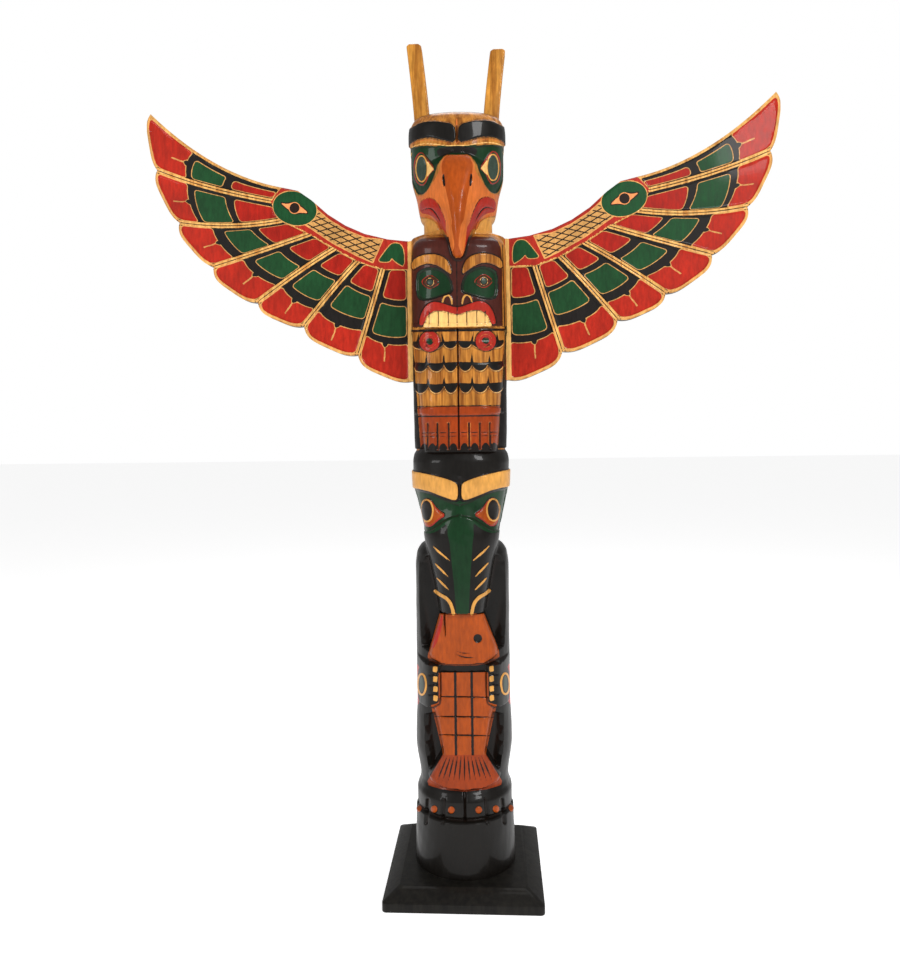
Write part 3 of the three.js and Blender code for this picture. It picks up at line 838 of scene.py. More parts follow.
    def knuckle_lines(self) -> list[Line]:
        """Two fine cuts across each of the eagle's toes."""
        middles = (9.5, 27, 45.5, 60)
        return [Line(BOTH, ((x - 5.5, z), (x + 5.5, z)), 1.5, 0.4) for x in middles for z in (793.6, 787.8)]

    def finger_nails(self) -> list[Patch]:
        """Four nails of each hand, one above the other."""
        return [
            Patch(BOTH, ((44.2, z + 4.2), (51.6, z + 5.4), (52, z - 4.0), (44.6, z - 5.4)), 0)
            for z in (389.6, 372.6, 355.6, 339.8)
        ]

    def finger_gaps(self) -> list[Line]:
        """The dark cuts between the bear's fingers."""
        return [Line(BOTH, ((43, z + 0.8), (60, z - 1.5)), 2.2, 0.4) for z in (381, 364, 347.6)]

    def foot_claws(self) -> list[Oval]:
        """The round claws of the bear's feet."""
        return [
            Oval(BOTH, x, z, w, 6.0) for x, z, w in ((23.5, 149, 5.6), (53, 150.5, 5.6), (80, 152, 5.2))
        ]

    def foot_gaps(self) -> list[Line]:
        """The hollows between the bear's toes."""
        return [Line(BOTH, ((x * 0.95, 166), (x, 127)), 6.0) for x in (38, 67, 93)]

    def forearm_disc(self) -> Oval:
        """The round joint mark on the side of each forearm."""
        return Oval(BOTH, 71.5, 364, 8.6, 19)

    def back_feathers(self) -> list[Patch]:
        """Tail feathers down the eagle's back, from the middle outwards, as the drawing unrolls them."""
        start = math.radians(self.flank_angle)
        centre = self.flank_radius * (math.sin(start) + (math.pi - start) * math.cos(start))
        feathers = []
        for place, tip in ((0.0, 784.0), (18.0, 788.0), (36.0, 793.0)):
            middle = centre - place
            outline = (
                (middle - 7.4, 950), (middle + 7.4, 950), (middle + 7.4, tip + 10), (middle, tip - 4),
                (middle - 7.4, tip + 10),
            )
            feathers.append(Patch(BOTH, outline, 1))
        return feathers

    def paint(self, job: PaintJob, depth: Grid) -> None:
        """Brushes every coat on a part of the log."""
        self._paint_chest(job)
        for coat in (
            Coat.MAROON, Coat.GOLD, Coat.DARK, Coat.GREEN, Coat.RED, Coat.LID, Coat.LIGHT, Coat.IRIS
        ):
            job.mask(coat, np.where((job.z > self.beak_foot) & (depth > self.beak_depth), -FAR, FAR))
        self._paint_eagle(job, depth)
        self._paint_legs(job)
        self._paint_bear(job)
        self._paint_fish(job)
        self._paint_limbs(job)
        self._paint_back(job)

    def _paint_eagle(self, job: PaintJob, depth: Grid) -> None:
        """The eagle's head: black brows, green sockets, ringed eyes, orange beak, red mouth."""
        x, z = job.x, job.z
        brow = Patch(BOTH, self.eagle_brow)
        green = Patch(BOTH, self.eagle_green)
        eye = Patch(BOTH, self.eagle_eye)
        pupil = Oval(BOTH, 61.5, 1249, 8.6, 21)
        beak = Patch(
            BOTH,
            (
                (-6, 1275), (12, 1275), (23, 1269), (29, 1259), (30, 1248), (35, 1237), (50, 1213),
                (62, 1200), (98, 1206), (98, 1168), (60, 1166), (40, 1160), (34, 1148), (30, 1136),
                (24, 1118), (20, 1100), (14, 1084), (-6, 1080),
            ),
            1,
        )
        ridge = Patch(
            BOTH,
            (
                (-6, 1273), (14, 1273), (23, 1267), (27.4, 1254), (25.5, 1238), (20.4, 1214), (15.4, 1190),
                (10.6, 1162), (7, 1140), (4, 1122), (3.4, 1110), (8, 1100), (10, 1090), (10, 1076),
                (-6, 1074),
            ),
            1,
        )
        mouth = Patch(
            BOTH,
            (
                (66, 1190), (56, 1197.5), (46, 1198.5), (36, 1192), (27, 1174), (21, 1157), (17.6, 1138),
                (15.6, 1118), (11.5, 1099), (8, 1090), (16, 1084), (22, 1106), (28, 1136), (33.5, 1154),
                (42, 1166), (54, 1171), (64, 1172), (69, 1180),
            ),
            1,
        )
        # A dark patch between the eyes above the root of the beak: painted shade of the crease there.
        crease_shade = Patch(
            BOTH,
            ((-6, 1287), (8, 1287), (26, 1285), (36, 1280), (32, 1270), (24, 1270), (14, 1272), (-6, 1272)),
            1
        )
        chest_face = np.interp(z, (1087, 1110, 1120, 1132, 1141, 1146), (95.5, 95.0, 92.0, 79.0, 66.0, 0.0))
        on_head = np.where(depth < chest_face, FAR, -FAR)
        job.brush(Coat.BLACK, brow)
        off_beak = beak.distance(x, z)
        job.brush(Coat.BEAK, beak, within=on_head)
        job.brush(Coat.ORANGE, ridge, within=on_head)
        job.brush(Coat.GREEN, green, within=1.0 - off_beak)
        above = mirrored(((0, 1288.5), (34, 1288.5), (34, 1270), (20, 1272), (0, 1272)))
        job.brush(Coat.GREEN, Patch(ONCE, above, 0))
        job.brush(Coat.RED, mouth, within=on_head)
        # A gold band round the neck: partly the neck's own gold, partly painted light that makes the neck
        # read as lit.
        clear = 1.0 - np.minimum(np.maximum(off_beak, on_head), mouth.distance(x, z))
        neck = np.maximum(np.abs(z - self.neck_height) - self.neck_light_band, clear)
        job.lay(Coat.GOLD, np.clip(neck, -FAR, FAR))
        job.brush(Coat.RED, Rim(BOTH, eye, 1.9, -0.6))
        corner = Patch(BOTH, ((52, 1263), (40.5, 1248), (52, 1235)), 0)
        job.brush(Coat.LIGHT, corner, within=1.4 - pupil.distance(x, z))
        job.brush(Coat.GOLD, Rim(BOTH, pupil, 2.2, 1.2))
        job.brush(Coat.BEAK, Line(ONCE, ((0, 1333), (0, 1292)), 2.2))
        for height, width in ((1289.5, 1.5), (1295.5, 1.3)):
            edge = Line(
                BOTH,
                (
                    (96, height - 13), (74, height - 1), (57, height + 3), (38, height + 1.6),
                    (18, height - 2), (-4, height - 1)
                ),
                width
            )
            job.brush(Coat.LIGHT if height < 1292 else Coat.BEAK, edge)
        # The dark patch above the beak: painted shade.
        job.brush(Coat.DARK, crease_shade, within=1.0 - off_beak)
        # The eagle's pupils, grey-green: partly their own colour, partly a painted reflection.
        job.brush(Coat.IRIS, pupil)
        job.brush(Coat.DARK, Rim(BOTH, pupil, 1.4, -0.6))
        job.brush(Coat.DARK, self.mouth_line(), grow=-0.2)
        job.brush(Coat.DARK, Oval(BOTH, 23.4, 1228.5, 2.0, 11.0, -4.0))
        upper = Line(
            BOTH, ((66, 1191), (56, 1198), (46, 1199), (36, 1193), (27, 1174.6), (20.6, 1157)), 1.3, 0.4
        )
        job.brush(Coat.DARK, upper)

    def _paint_chest(self, job: PaintJob) -> None:
        """The face on the eagle's chest."""
        ground = Patch(
            BOTH,
            ((-4, 1127), (40, 1127), (60, 1125), (70, 1119), (75, 1108), (77, 1090), (77, 974), (-4, 974)),
            0
        )
        socket = Patch(BOTH, self.chest_socket)
        brow = Patch(BOTH, self.chest_brow)
        eye = Patch(BOTH, self.chest_eye, 2)
        lip = self.mouth_ring()
        teeth = Patch(
            ONCE, mirrored(((0, 994), (24, 1001), (40, 1001), (52, 992), (58, 977), (58, 974), (0, 974))), 0
        )
        job.brush(Coat.MAROON, ground)
        job.brush(Coat.GREEN, socket)
        job.brush(Coat.RED, lip)
        for coat in (Coat.MAROON, Coat.GREEN):
            job.wipe(coat, brow)
        job.brush(Coat.LIGHT, teeth)
        job.brush(Coat.GOLD, self.chest_nostril())
        job.brush(Coat.RED, eye, grow=1.4)
        job.brush(Coat.BEAK, eye, grow=-0.2)
        job.wipe(Coat.RED, eye, grow=-0.2)
        job.brush(Coat.LID, eye, grow=-1.7)
        job.brush(Coat.LIGHT, Oval(BOTH, 46, 1050.7, 7.2, 7.2))
        job.wipe(Coat.LIGHT, Oval(BOTH, 46, 1050.7, 6.2, 6.2))
        job.brush(Coat.DARK, Oval(BOTH, 46, 1050.7, 6.2, 6.2))
        # The chest eyes' pupils, grey-green: partly their own colour, partly a painted reflection.
        job.brush(Coat.IRIS, Oval(BOTH, 46, 1050.7, 4.8, 4.8))
        # Among these dark lines, the one across at height 973 is painted shade in the step between the
        # chest panel and the legs; the rest are outlines and cuts.
        job.brush(
            Coat.DARK, Rim(BOTH, socket, 2.0, 0.8), Rim(BOTH, brow, 1.6, 1.0), Rim(ONCE, lip, 1.4, 0.9),
            Line(ONCE, ((0, 1122), (0, 1000)), 1.8), *self.teeth_grooves(),
            Line(BOTH, ((78.5, 1112), (80, 974)), 1.6), Line(ONCE, ((-88, 973), (88, 973)), 1.0)
        )

    def _paint_legs(self, job: PaintJob) -> None:
        """The eagle's legs: gold feathers with black tips, red joint discs, orange feet."""
        x, z = job.x, job.z
        across = np.abs(x)
        disc = Oval(BOTH, 48, 950, 17.5, 17.5)
        for top, drop in self.feather_rows:
            tip = self._tip_height(across, top, drop)
            band = np.maximum(tip + 0.8 - z, z - top - 1.5 - 0.12 * np.abs(across - 37.5) ** 0.8)
            band = np.maximum(band, across - self.feather_half_width)
            job.lay(Coat.BLACK, np.clip(band, -FAR, FAR))
            job.lay(Coat.LIGHT, np.clip(np.maximum(np.abs(tip - z - 0.4) - 0.7, across - 77.0), -FAR, FAR))
        wedges = (
            ((54, 909), (54, 926)), ((24, 909), (24, 931)), ((51.5, 873), (51.5, 890)),
            ((24, 873), (24, 890)), ((78, 873), (78, 890)),
            ((78, 909), (78, 926)), ((24.5, 944), (28, 965)), ((68, 946), (67, 964)),
        )
        for (ax, az), (bx, bz) in wedges:
            wedge = Patch(
                BOTH,
                ((ax - 4.4, az), (ax - 2.2, az + 6), (bx, bz + 2), (ax + 2.2, az + 6), (ax + 4.4, az)), 0
            )
            job.brush(Coat.BLACK, wedge)
        panel = Patch(ONCE, ((-81, 966), (81, 966), (66.5, 764), (-66.5, 764)), 0)
        feet = Patch(ONCE, ((-76, 838), (76, 838), (74, 764), (-74, 764)), 0)
        off_panel = panel.distance(x, z)
        job.brush(Coat.RUST, feet, within=off_panel)
        beside = np.maximum(0.4 - off_panel, np.abs(z - 868.0) - 102.0)
        job.lay(Coat.DARK, np.clip(np.maximum(beside, across - 96.0), -FAR, FAR))
        job.brush(Coat.RED, disc)
        job.wipe(Coat.LIGHT, disc, grow=1.0)
        job.brush(Coat.BEAK, Rim(BOTH, disc, 0.9, -6.5))
        job.wipe(Coat.RED, Rim(BOTH, disc, 0.9, -6.5))
        job.brush(Coat.DARK, Rim(BOTH, Oval(BOTH, 48, 950, 5.4, 5.4), 1.7))
        job.wipe(Coat.RED, Oval(BOTH, 48, 950, 5.0, 5.0))
        job.brush(Coat.GREEN, Oval(BOTH, 48, 950, 4.6, 4.6))
        job.brush(Coat.DARK, Rim(BOTH, disc, 1.6, 0.9))
        for height, width in ((839, 1.8), (821.8, 2.4)):
            job.brush(Coat.DARK, Line(ONCE, ((-78, height), (78, height)), width))
        job.brush(Coat.LID, Line(ONCE, ((0, 971), (0, 766)), 2.8))
        for groove in self.toe_grooves():
            job.brush(Coat.DARK, groove, grow=-1.2)
            edge = np.maximum(np.abs(groove.distance(x, z) - 0.2) - 0.5, 770.0 - z)
            job.lay(Coat.BEAK, edge)
            job.mask(Coat.RUST, edge)
        job.brush(Coat.DARK, *self.knuckle_lines())
        for middle in (9.5, 27, 45.5, 60):
            nail = Patch(
                BOTH,
                (
                    (middle - 7.6, 760), (middle - 6.4, 771), (middle, 777), (middle + 6.4, 771),
                    (middle + 7.6, 760)
                ),
                1
            )
            job.brush(Coat.DARK, nail)

    def _paint_bear(self, job: PaintJob) -> None:
        """The bear: black all over, gold brows, green face and snout stripe, ringed eyes."""
        z = job.z
        green = Patch(BOTH, self.bear_green)
        stripe = Patch(
            ONCE, mirrored(((23, 650), (22, 619), (19.4, 603), (16, 563), (13, 525), (10.4, 484))), 0
        )
        brow = Patch(BOTH, self.bear_brow)
        eye = Patch(BOTH, self.bear_eye)
        pupil = Oval(BOTH, 57, 661, 9.4, 17)
        job.lay(Coat.BLACK, np.clip(z - 764.0, -FAR, FAR))
        job.brush(Coat.GREEN, green, stripe)
        job.brush(Coat.GOLD, brow)
        job.brush(Coat.RED, Rim(BOTH, eye, 2.2, -0.4))
        job.brush(Coat.ORANGE, eye, grow=-1.6)
        job.wipe(Coat.GREEN, eye, grow=-1.6)
        job.wipe(Coat.BLACK, eye, grow=-1.6)
        job.brush(Coat.GOLD, Rim(BOTH, pupil, 2.8, 1.5))
        job.brush(Coat.DARK, pupil, Rim(BOTH, eye, 1.2, 1.5), Rim(BOTH, brow, 2.4, 1.4))
        job.brush(Coat.GOLD, self.bear_nostril(), *self.whiskers())

    def _paint_fish(self, job: PaintJob) -> None:
        """The fish, orange with dark cuts."""
        for outline in (self.fish_head, self.fish_body, self.fish_tail):
            job.brush(Coat.ORANGE, Patch(ONCE, outline, 0), grow=0.8)
        gill = Patch(ONCE, ((-37, 482), (-33.6, 482), (-35, 462), (-47, 428), (-56, 424)), 1)
        job.brush(Coat.RED, gill)
        job.brush(Coat.RUST, Patch(ONCE, self.fish_tail, 0), grow=0.8, within=job.z - 243.0)
        job.brush(Coat.DARK, self.fish_eye(), self.fish_crack(), *self.smile(), *self.scale_grooves())
        job.brush(Coat.DARK, *self.fin_rays(), grow=-0.4)

    def _paint_limbs(self, job: PaintJob) -> None:
        """Nails, claws and the marks on the forearms."""
        disc = self.forearm_disc()
        flank = Patch(
            BOTH,
            (
                (74, 397), (92, 400), (108, 392), (116, 364), (108, 336), (92, 328), (75, 331), (80, 346),
                (82, 364), (80, 382),
            ),
            1
        )
        job.brush(Coat.RED, flank)
        job.brush(Coat.GOLD, Rim(BOTH, disc, 3.8, -1.4))
        job.wipe(Coat.RED, disc, grow=2.0)
        hand = Patch(BOTH, ((42.6, 396), (64, 400), (64, 326), (42.6, 332)), 0)
        job.brush(Coat.BLACK, hand)
        for coat in (Coat.ORANGE, Coat.RUST):
            job.wipe(coat, hand)
        job.brush(Coat.DARK, disc, grow=-3.0)
        job.brush(Coat.IRIS, disc, grow=-5.4)
        job.brush(Coat.GOLD, *self.finger_nails())
        job.brush(Coat.DARK, *self.finger_gaps())
        job.brush(Coat.ORANGE, *self.foot_claws())

    def _paint_back(self, job: PaintJob) -> None:
        """The plainer paint behind: a dark back, and the eagle's tail feathers with maroon tips."""
        x, z = job.x, job.z
        across = np.abs(x)
        for low, high, edge in ((764.0, 974.0, 80.5), (974.0, 1141.0, 86.5)):
            job.lay(Coat.BLACK, np.where((z > low) & (z < high), np.clip(edge - across, -FAR, FAR), FAR))
        for feather in self.back_feathers():
            middle = 0.5 * (feather.points[0][0] + feather.points[1][0])
            job.brush(Coat.GOLD, feather)
            job.brush(Coat.LID, feather, grow=-2.0, within=z - 826.0)
            job.brush(Coat.DARK, Line(BOTH, ((middle, 944), (middle, 832)), 1.8))

    def hollows(self, radius: Grid) -> Grid:
        """How far each point lies in a hollow, negative on a ridge, from -1 to 1."""
        blurred = radius.copy()
        for _ in range(6):
            padded = np.pad(blurred, ((1, 1), (0, 0)), mode="edge")
            blurred = 0.25 * padded[:-2] + 0.5 * padded[1:-1] + 0.25 * padded[2:]
            wrapped = np.pad(blurred, ((0, 0), (1, 1)), mode="wrap")
            blurred = 0.25 * wrapped[:, :-2] + 0.5 * wrapped[:, 1:-1] + 0.25 * wrapped[:, 2:]
        return np.clip((blurred - radius) / self.hollow_depth, -1.0, 1.0)

    def build(self, part: LogPart) -> bpy.types.Object:
        """Models one part of the log as a rolled sheet with closed ends.

        Args:
            part: the stretch to model.

        Returns:
            The finished object, painted and smooth.
        """
        theta = self.columns()
        z = self.rows(part)
        radius = self.carve(z, theta)
        turned = np.broadcast_to(theta[None, :], radius.shape)
        height = np.broadcast_to(z[:, None], radius.shape)
        x, drawn = self.drawing(radius, turned, height)
        piece = sheet_of(part.name, *radius.shape)
        mesh = piece.data
        facing = turned + math.radians(self.turn)
        place = np.stack([radius * np.sin(facing), -radius * np.cos(facing), height], axis=-1) * MM
        mesh.vertices.foreach_set("co", place.astype(np.float32).reshape(-1))
        job = PaintJob(x, drawn)
        self.paint(job, radius * np.cos(turned))
        job.store(mesh)
        # Lifts the dark wash round the neck: painted light, so that the neck reads as lit.
        wash_with_lit_neck = 1.0 - self.neck_light_lift * np.exp(-(((height - self.neck_height) / self.neck_light_spread) ** 2))
        store_value(mesh, "hollow", self.hollows(radius) * wash_with_lit_neck)
        close_rolled_sheet(piece)
        return piece


def sheet_of(name: str, rows: int, columns: int) -> bpy.types.Object:
    """A flat grid primitive with this many rows and columns of points, nothing else selected."""
    bpy.ops.object.select_all(action="DESELECT")
    bpy.ops.mesh.primitive_grid_add(x_subdivisions=columns - 1, y_subdivisions=rows - 1, size=1.0)
    piece = bpy.context.object
    piece.name = piece.data.name = name
    while piece.data.attributes.get("UVMap"):
        piece.data.attributes.remove(piece.data.attributes["UVMap"])
    return piece


def store_value(mesh: bpy.types.Mesh, name: str, values: Grid) -> None:
    """Writes one number for each point of a mesh."""
    attribute = mesh.attributes.new(name, "FLOAT", "POINT")
    attribute.data.foreach_set("value", values.astype(np.float32).ravel())


def close_rolled_sheet(piece: bpy.types.Object) -> None:
    """Joins the two edges of a rolled sheet, closes its ends and turns its faces outwards."""
    bpy.context.view_layer.objects.active = piece
    bpy.ops.object.mode_set(mode="EDIT")
    bpy.ops.mesh.select_all(action="SELECT")
    bpy.ops.mesh.remove_doubles(threshold=1e-6)
    bpy.ops.mesh.select_all(action="DESELECT")
    bpy.ops.mesh.select_mode(type="EDGE")
    bpy.ops.mesh.select_non_manifold(
        extend=False, use_wire=False, use_multi_face=False, use_non_contiguous=False, use_verts=False
    )
    bpy.ops.mesh.edge_face_add()
    bpy.ops.mesh.poke()
    bpy.ops.mesh.select_all(action="SELECT")
    bpy.ops.mesh.normals_make_consistent(inside=False)
    bpy.ops.object.mode_set(mode="OBJECT")
    bpy.ops.object.shade_smooth_by_angle(angle=math.radians(70))


# The wings


@dataclass(frozen=True)
class Quill:
    """A rib of the wing: a curve from the arm through a bend to the rim, as distances out and heights."""

    rim: tuple[float, float]
    bend: tuple[float, float]
    arm: tuple[float, float]

    def at(self, share: Grid) -> Grid:
        """Points of the curve, from the arm at 0 to the rim at 1."""
        rim, bend, arm = (np.array(point, float) for point in (self.rim, self.bend, self.arm))
        pull = 2.0 * bend - (rim + arm) / 2.0
        s = share[..., None]
        return (1 - s) ** 2 * arm + 2 * s * (1 - s) * pull + s**2 * rim


@dataclass(frozen=True)
class Feather:
    """One long feather between two quills, with the ends of its painted cells at each quill."""

    outer: Quill
    inner: Quill
    bulge: float
    ends_outer: tuple[float, float, float, float]
    ends_inner: tuple[float, float, float, float]

    def at(self, s: Grid, t: Grid) -> Grid:
        """Points of the feather: s from the arm to the rim, t from the outer quill to the inner one."""
        a, b = self.outer.at(s), self.inner.at(s)
        chord = np.array(self.inner.rim) - np.array(self.outer.rim)
        outward = np.array([-chord[1], chord[0]]) / np.hypot(*chord)
        swell = self.bulge * s**3 * (1 - (2 * t - 1) ** 4) * (1.25 - 0.5 * t)
        return a + (b - a) * t[..., None] + swell[..., None] * outward

    def end(self, which: int, t: Grid) -> Grid:
        """Where a cell ends along the feather, bowed towards the rim."""
        a, b = self.ends_outer[which], self.ends_inner[which]
        return a + (b - a) * t + 0.03 * (1 - (2 * t - 1) ** 2)


def rounded_and(*sides: Grid, radius: float = 6.0) -> Grid:
    """The distance inside several edges at once, with the corners rounded."""
    found = sides[0]
    for side in sides[1:]:
        a, b = found + radius, side + radius
        corner = np.hypot(np.maximum(a, 0), np.maximum(b, 0)) - radius
        found = np.where((a > 0) & (b > 0), corner, np.maximum(found, side))
    return found


def path_distance(points: Grid, path: Grid) -> Grid:
    """The distance of each point from an open line."""
    best = np.full(len(points), 1e6)
    for a, b in zip(path[:-1], path[1:]):
        run = b - a
        along = np.clip(((points - a) @ run) / (run @ run + 1e-12), 0.0, 1.0)
        best = np.minimum(best, np.hypot(*(points - a - along[:, None] * run).T))
    return best


@dataclass
class Wing:
    """A flat wing board: seven long feathers between quills, an eye, a netted arm and a red root."""

    thickness: float = 20.0
    root_x: float = 88.0
    root_top: float = 1142.0
    tenon: float = 10.0
    field_depth: float = 2.5
    across_steps: int = 34
    along_steps: int = 96
    reach: float = 573.4
    no_cell: float = 60.0
    edge_drop: float = 3.0
    back_drop: float = 2.0
    edge_round: float = 4.5
    groove_depth: float = 0.9
    top_edge: Points = (
        (322, 1247), (292, 1240), (267, 1222), (237, 1195), (205, 1174), (170, 1158), (128, 1147),
        (88, 1142),
    )
    quills: tuple[Quill, ...] = (
        Quill((566, 1390), (446, 1296), (322, 1247)),
        Quill((555, 1286), (458, 1251), (341, 1222)),
        Quill((514, 1188), (418, 1179), (322, 1186)),
        Quill((451, 1105), (356, 1133), (270, 1160)),
        Quill((369, 1038), (294, 1090), (225, 1132)),
        Quill((284, 993), (227, 1060), (182, 1108)),
        Quill((185, 938), (159, 1021), (137, 1093)),
        Quill((88, 888), (88, 990), (88, 1092)),
    )
    bulges: tuple[float, ...] = (10, 11.5, 13, 15.5, 13.5, 15.5, 14.5)
    cell_ends: tuple[tuple[tuple[float, ...], tuple[float, ...]], ...] = (
        ((0.29, 0.36, 0.585, 0.65), (0.295, 0.385, 0.63, 0.70)),
        ((0.26, 0.36, 0.60, 0.69), (0.37, 0.45, 0.715, 0.79)),
        ((0.24, 0.34, 0.56, 0.68), (0.33, 0.41, 0.66, 0.78)),
        ((0.265, 0.38, 0.615, 0.72), (0.28, 0.42, 0.617, 0.735)),
        ((0.25, 0.355, 0.61, 0.715), (0.29, 0.40, 0.67, 0.795)),
        ((0.29, 0.375, 0.65, 0.79), (0.28, 0.37, 0.60, 0.745)),
        ((0.30, 0.39, 0.69, 0.77), (0.25, 0.33, 0.575, 0.67)),
    )
    eye: Oval = Oval(ONCE, 297.5, 1207.5, 41, 30.5, 16)
    almond: Points = (
        (325.5, 1219), (312, 1216), (300, 1218.5), (286, 1211), (271, 1197), (285, 1199), (297, 1197.5),
        (311, 1206),
    )
    net: Points = (
        (262, 1208), (235, 1184), (203, 1164), (168, 1149), (137, 1146), (155.6, 1105.5), (181, 1117),
        (227, 1142), (276, 1176), (290, 1184),
    )
    root_mark: Points = (
        (113.4, 1139.5), (104, 1137), (98, 1124), (98, 1096), (108, 1101), (116, 1107), (120.5, 1113),
        (124, 1106), (133, 1105), (146, 1107), (138, 1118), (128, 1131), (121, 1138),
    )

    def feathers(self) -> list[Feather]:
        """The seven feathers, from the tip to the root."""
        return [
            Feather(outer, inner, bulge, *ends)
            for outer, inner, bulge, ends in zip(
                self.quills[:-1], self.quills[1:], self.bulges, self.cell_ends
            )
        ]

    def _feather_patch(self, feather: Feather) -> tuple[Grid, dict[str, Grid]]:
        """Points of one feather with what the paint needs to know about each."""
        s, t = np.meshgrid(
            np.linspace(0, 1, self.along_steps + 1), np.linspace(0, 1, self.across_steps + 1), indexing="ij"
        )
        place = feather.at(s, t)
        ahead, behind = np.minimum(s + 0.01, 1), np.maximum(s - 0.01, 0)
        step = feather.at(ahead, t) - feather.at(behind, t)
        length = np.hypot(*np.moveaxis(step, -1, 0)) / (ahead - behind)
        ends = [(s - feather.end(i, t)) * length for i in range(4)]
        width = np.hypot(*np.moveaxis(feather.inner.at(s) - feather.outer.at(s), -1, 0))
        return place, {
            "along": s, "red_end": ends[0], "green_start": -ends[1], "green_end": ends[2],
            "tip_start": -ends[3], "outer": t * width, "inner": (1 - t) * width, "length": length,
        }

    def _arm_patch(self) -> Grid:
        """Points of the arm, between the feet of the feathers and the top edge."""
        bottom = [quill.arm for quill in self.quills[:0:-1]]
        low = np.vstack([
            np.linspace(bottom[i], bottom[i + 1], self.across_steps + 1)[: None if i == 5 else -1]
            for i in range(6)
        ])
        top = np.array(self.top_edge[::-1], float)
        steps = np.concatenate([[0], np.cumsum(np.hypot(*np.diff(top, axis=0).T))])
        shares = np.linspace(0, steps[-1], len(low))
        high = np.stack([np.interp(shares, steps, top[:, 0]), np.interp(shares, steps, top[:, 1])], axis=1)
        v = np.linspace(0, 1, self.across_steps + 1)[:, None, None]
        return low[None] * (1 - v) + high[None] * v

    def _tenon_patch(self) -> Grid:
        """The strip that goes into the log, between its own edge and the root."""
        arm_heights = np.linspace(self.quills[7].arm[1], self.root_top, self.across_steps + 1)
        feather_heights = self.quills[7].at(np.linspace(0, 1, self.along_steps + 1))[:, 1]
        heights = np.concatenate([arm_heights[::-1], feather_heights[1:]])
        near = np.stack([np.full(len(heights), self.root_x), heights], axis=1)
        return np.stack([near - [self.tenon, 0], near - [self.tenon / 2, 0], near], axis=0)

    def build(self, name: str, side: int) -> bpy.types.Object:
        """Models one wing board with its relief.

        Args:
            name: the piece's name.
            side: 1 for the right wing and -1 for the left.

        Returns:
            The finished object, with its paint stored on it.
        """
        patches = [self._feather_patch(feather) for feather in self.feathers()]
        for plain in (self._arm_patch(), self._tenon_patch()):
            patches.append((plain, {key: np.full(plain.shape[:2], self.no_cell) for key in patches[0][1]}))
        sheets = []
        for i, (place, facts) in enumerate(patches):
            sheet = sheet_of(f"{name}_{i}", *place.shape[:2])
            co = np.zeros((place.shape[0] * place.shape[1], 3))
            co[:, 0] = place[..., 0].ravel() * side
            co[:, 1] = -self.thickness / 2
            co[:, 2] = place[..., 1].ravel()
            sheet.data.vertices.foreach_set("co", (co * MM).astype(np.float32).ravel())
            for key, values in facts.items():
                store_value(sheet.data, key, values)
            sheets.append(sheet)
        bpy.ops.object.select_all(action="DESELECT")
        for sheet in sheets:
            sheet.select_set(True)
        piece = sheets[0]
        bpy.context.view_layer.objects.active = piece
        bpy.ops.object.join()
        piece.name = piece.data.name = name
        bpy.ops.object.mode_set(mode="EDIT")
        bpy.ops.mesh.select_all(action="SELECT")
        bpy.ops.mesh.remove_doubles(threshold=5e-5)
        bpy.ops.mesh.normals_make_consistent(inside=False)
        bpy.ops.object.mode_set(mode="OBJECT")
        facing = np.array([polygon.normal.y for polygon in piece.data.polygons[:40]]).mean()
        if facing > 0:
            piece.data.flip_normals()
        wall = piece.modifiers.new("board", "SOLIDIFY")
        wall.thickness = self.thickness * MM
        wall.offset = -1.0
        bpy.ops.object.modifier_apply(modifier=wall.name)
        self._shape(piece, side)
        bpy.ops.object.shade_smooth_by_angle(angle=math.radians(40))
        return piece

    def _shape(self, piece: bpy.types.Object, side: int) -> None:
        """Cuts the fields back, rounds the edges and stores the paint."""
        mesh = piece.data
        count = len(mesh.vertices)
        co = np.zeros(count * 3, np.float32)
        mesh.vertices.foreach_get("co", co)
        co = co.reshape(-1, 3).astype(float) / MM
        plan = np.stack([co[:, 0] * side, co[:, 2]], axis=1)
        facts = {}
        for key in (
            "along", "red_end", "green_start", "green_end", "tip_start", "outer", "inner", "length"
        ):
            values = np.zeros(count, np.float32)
            mesh.attributes[key].data.foreach_get("value", values)
            facts[key] = values.astype(float)
            mesh.attributes.remove(mesh.attributes[key])
        fine = np.linspace(0, 1, 33)
        quill = np.full(count, 1e6)
        for rib in self.quills[1:-1]:
            quill = np.minimum(quill, path_distance(plan, rib.at(fine)))
        rim = np.full(count, 1e6)
        for feather in self.feathers():
            edge = feather.at(np.ones(25), np.linspace(0, 1, 25))
            rim = np.minimum(rim, path_distance(plan, edge))
        top = path_distance(
            plan, np.vstack([self.quills[0].at(fine)[::-1], np.array(self.top_edge[1:], float)])
        )
        root = np.abs(plan[:, 0] - self.root_x)
        in_feather = facts["along"] < 2.0
        x, z = plan[:, 0], plan[:, 1]
        eye = self.eye.measure(x, z)
        paint = self._cells(facts, quill, rim, top, root, in_feather)
        job = {
            "cells": (paint["tip"], paint["green"], paint["red"]),
            "bands": (quill, rim, Patch(ONCE, self.net, 0).measure(x, z)),
            "field": (paint["field"], paint["split"], np.where(in_feather, -1.0, 1.0)),
            "eye": (
                eye, Patch(ONCE, self.almond, 1).measure(x, z),
                Oval(ONCE, 298, 1208, 9.3, 9.3).measure(x, z)
            ),
            "plan": (x, z, root),
        }
        for name, columns in job.items():
            attribute = mesh.attributes.new(name, "FLOAT_VECTOR", "POINT")
            attribute.data.foreach_set("vector", np.stack(columns, axis=1).astype(np.float32).ravel())
        store_value(mesh, "mark", Patch(ONCE, self.root_mark, 1).measure(x, z))
        front = co[:, 1] < 0
        sunk = smooth_step(-0.4, 1.6, -paint["field"]) * self.field_depth
        sunk = sunk * smooth_step(-0.5, 2.5, eye)
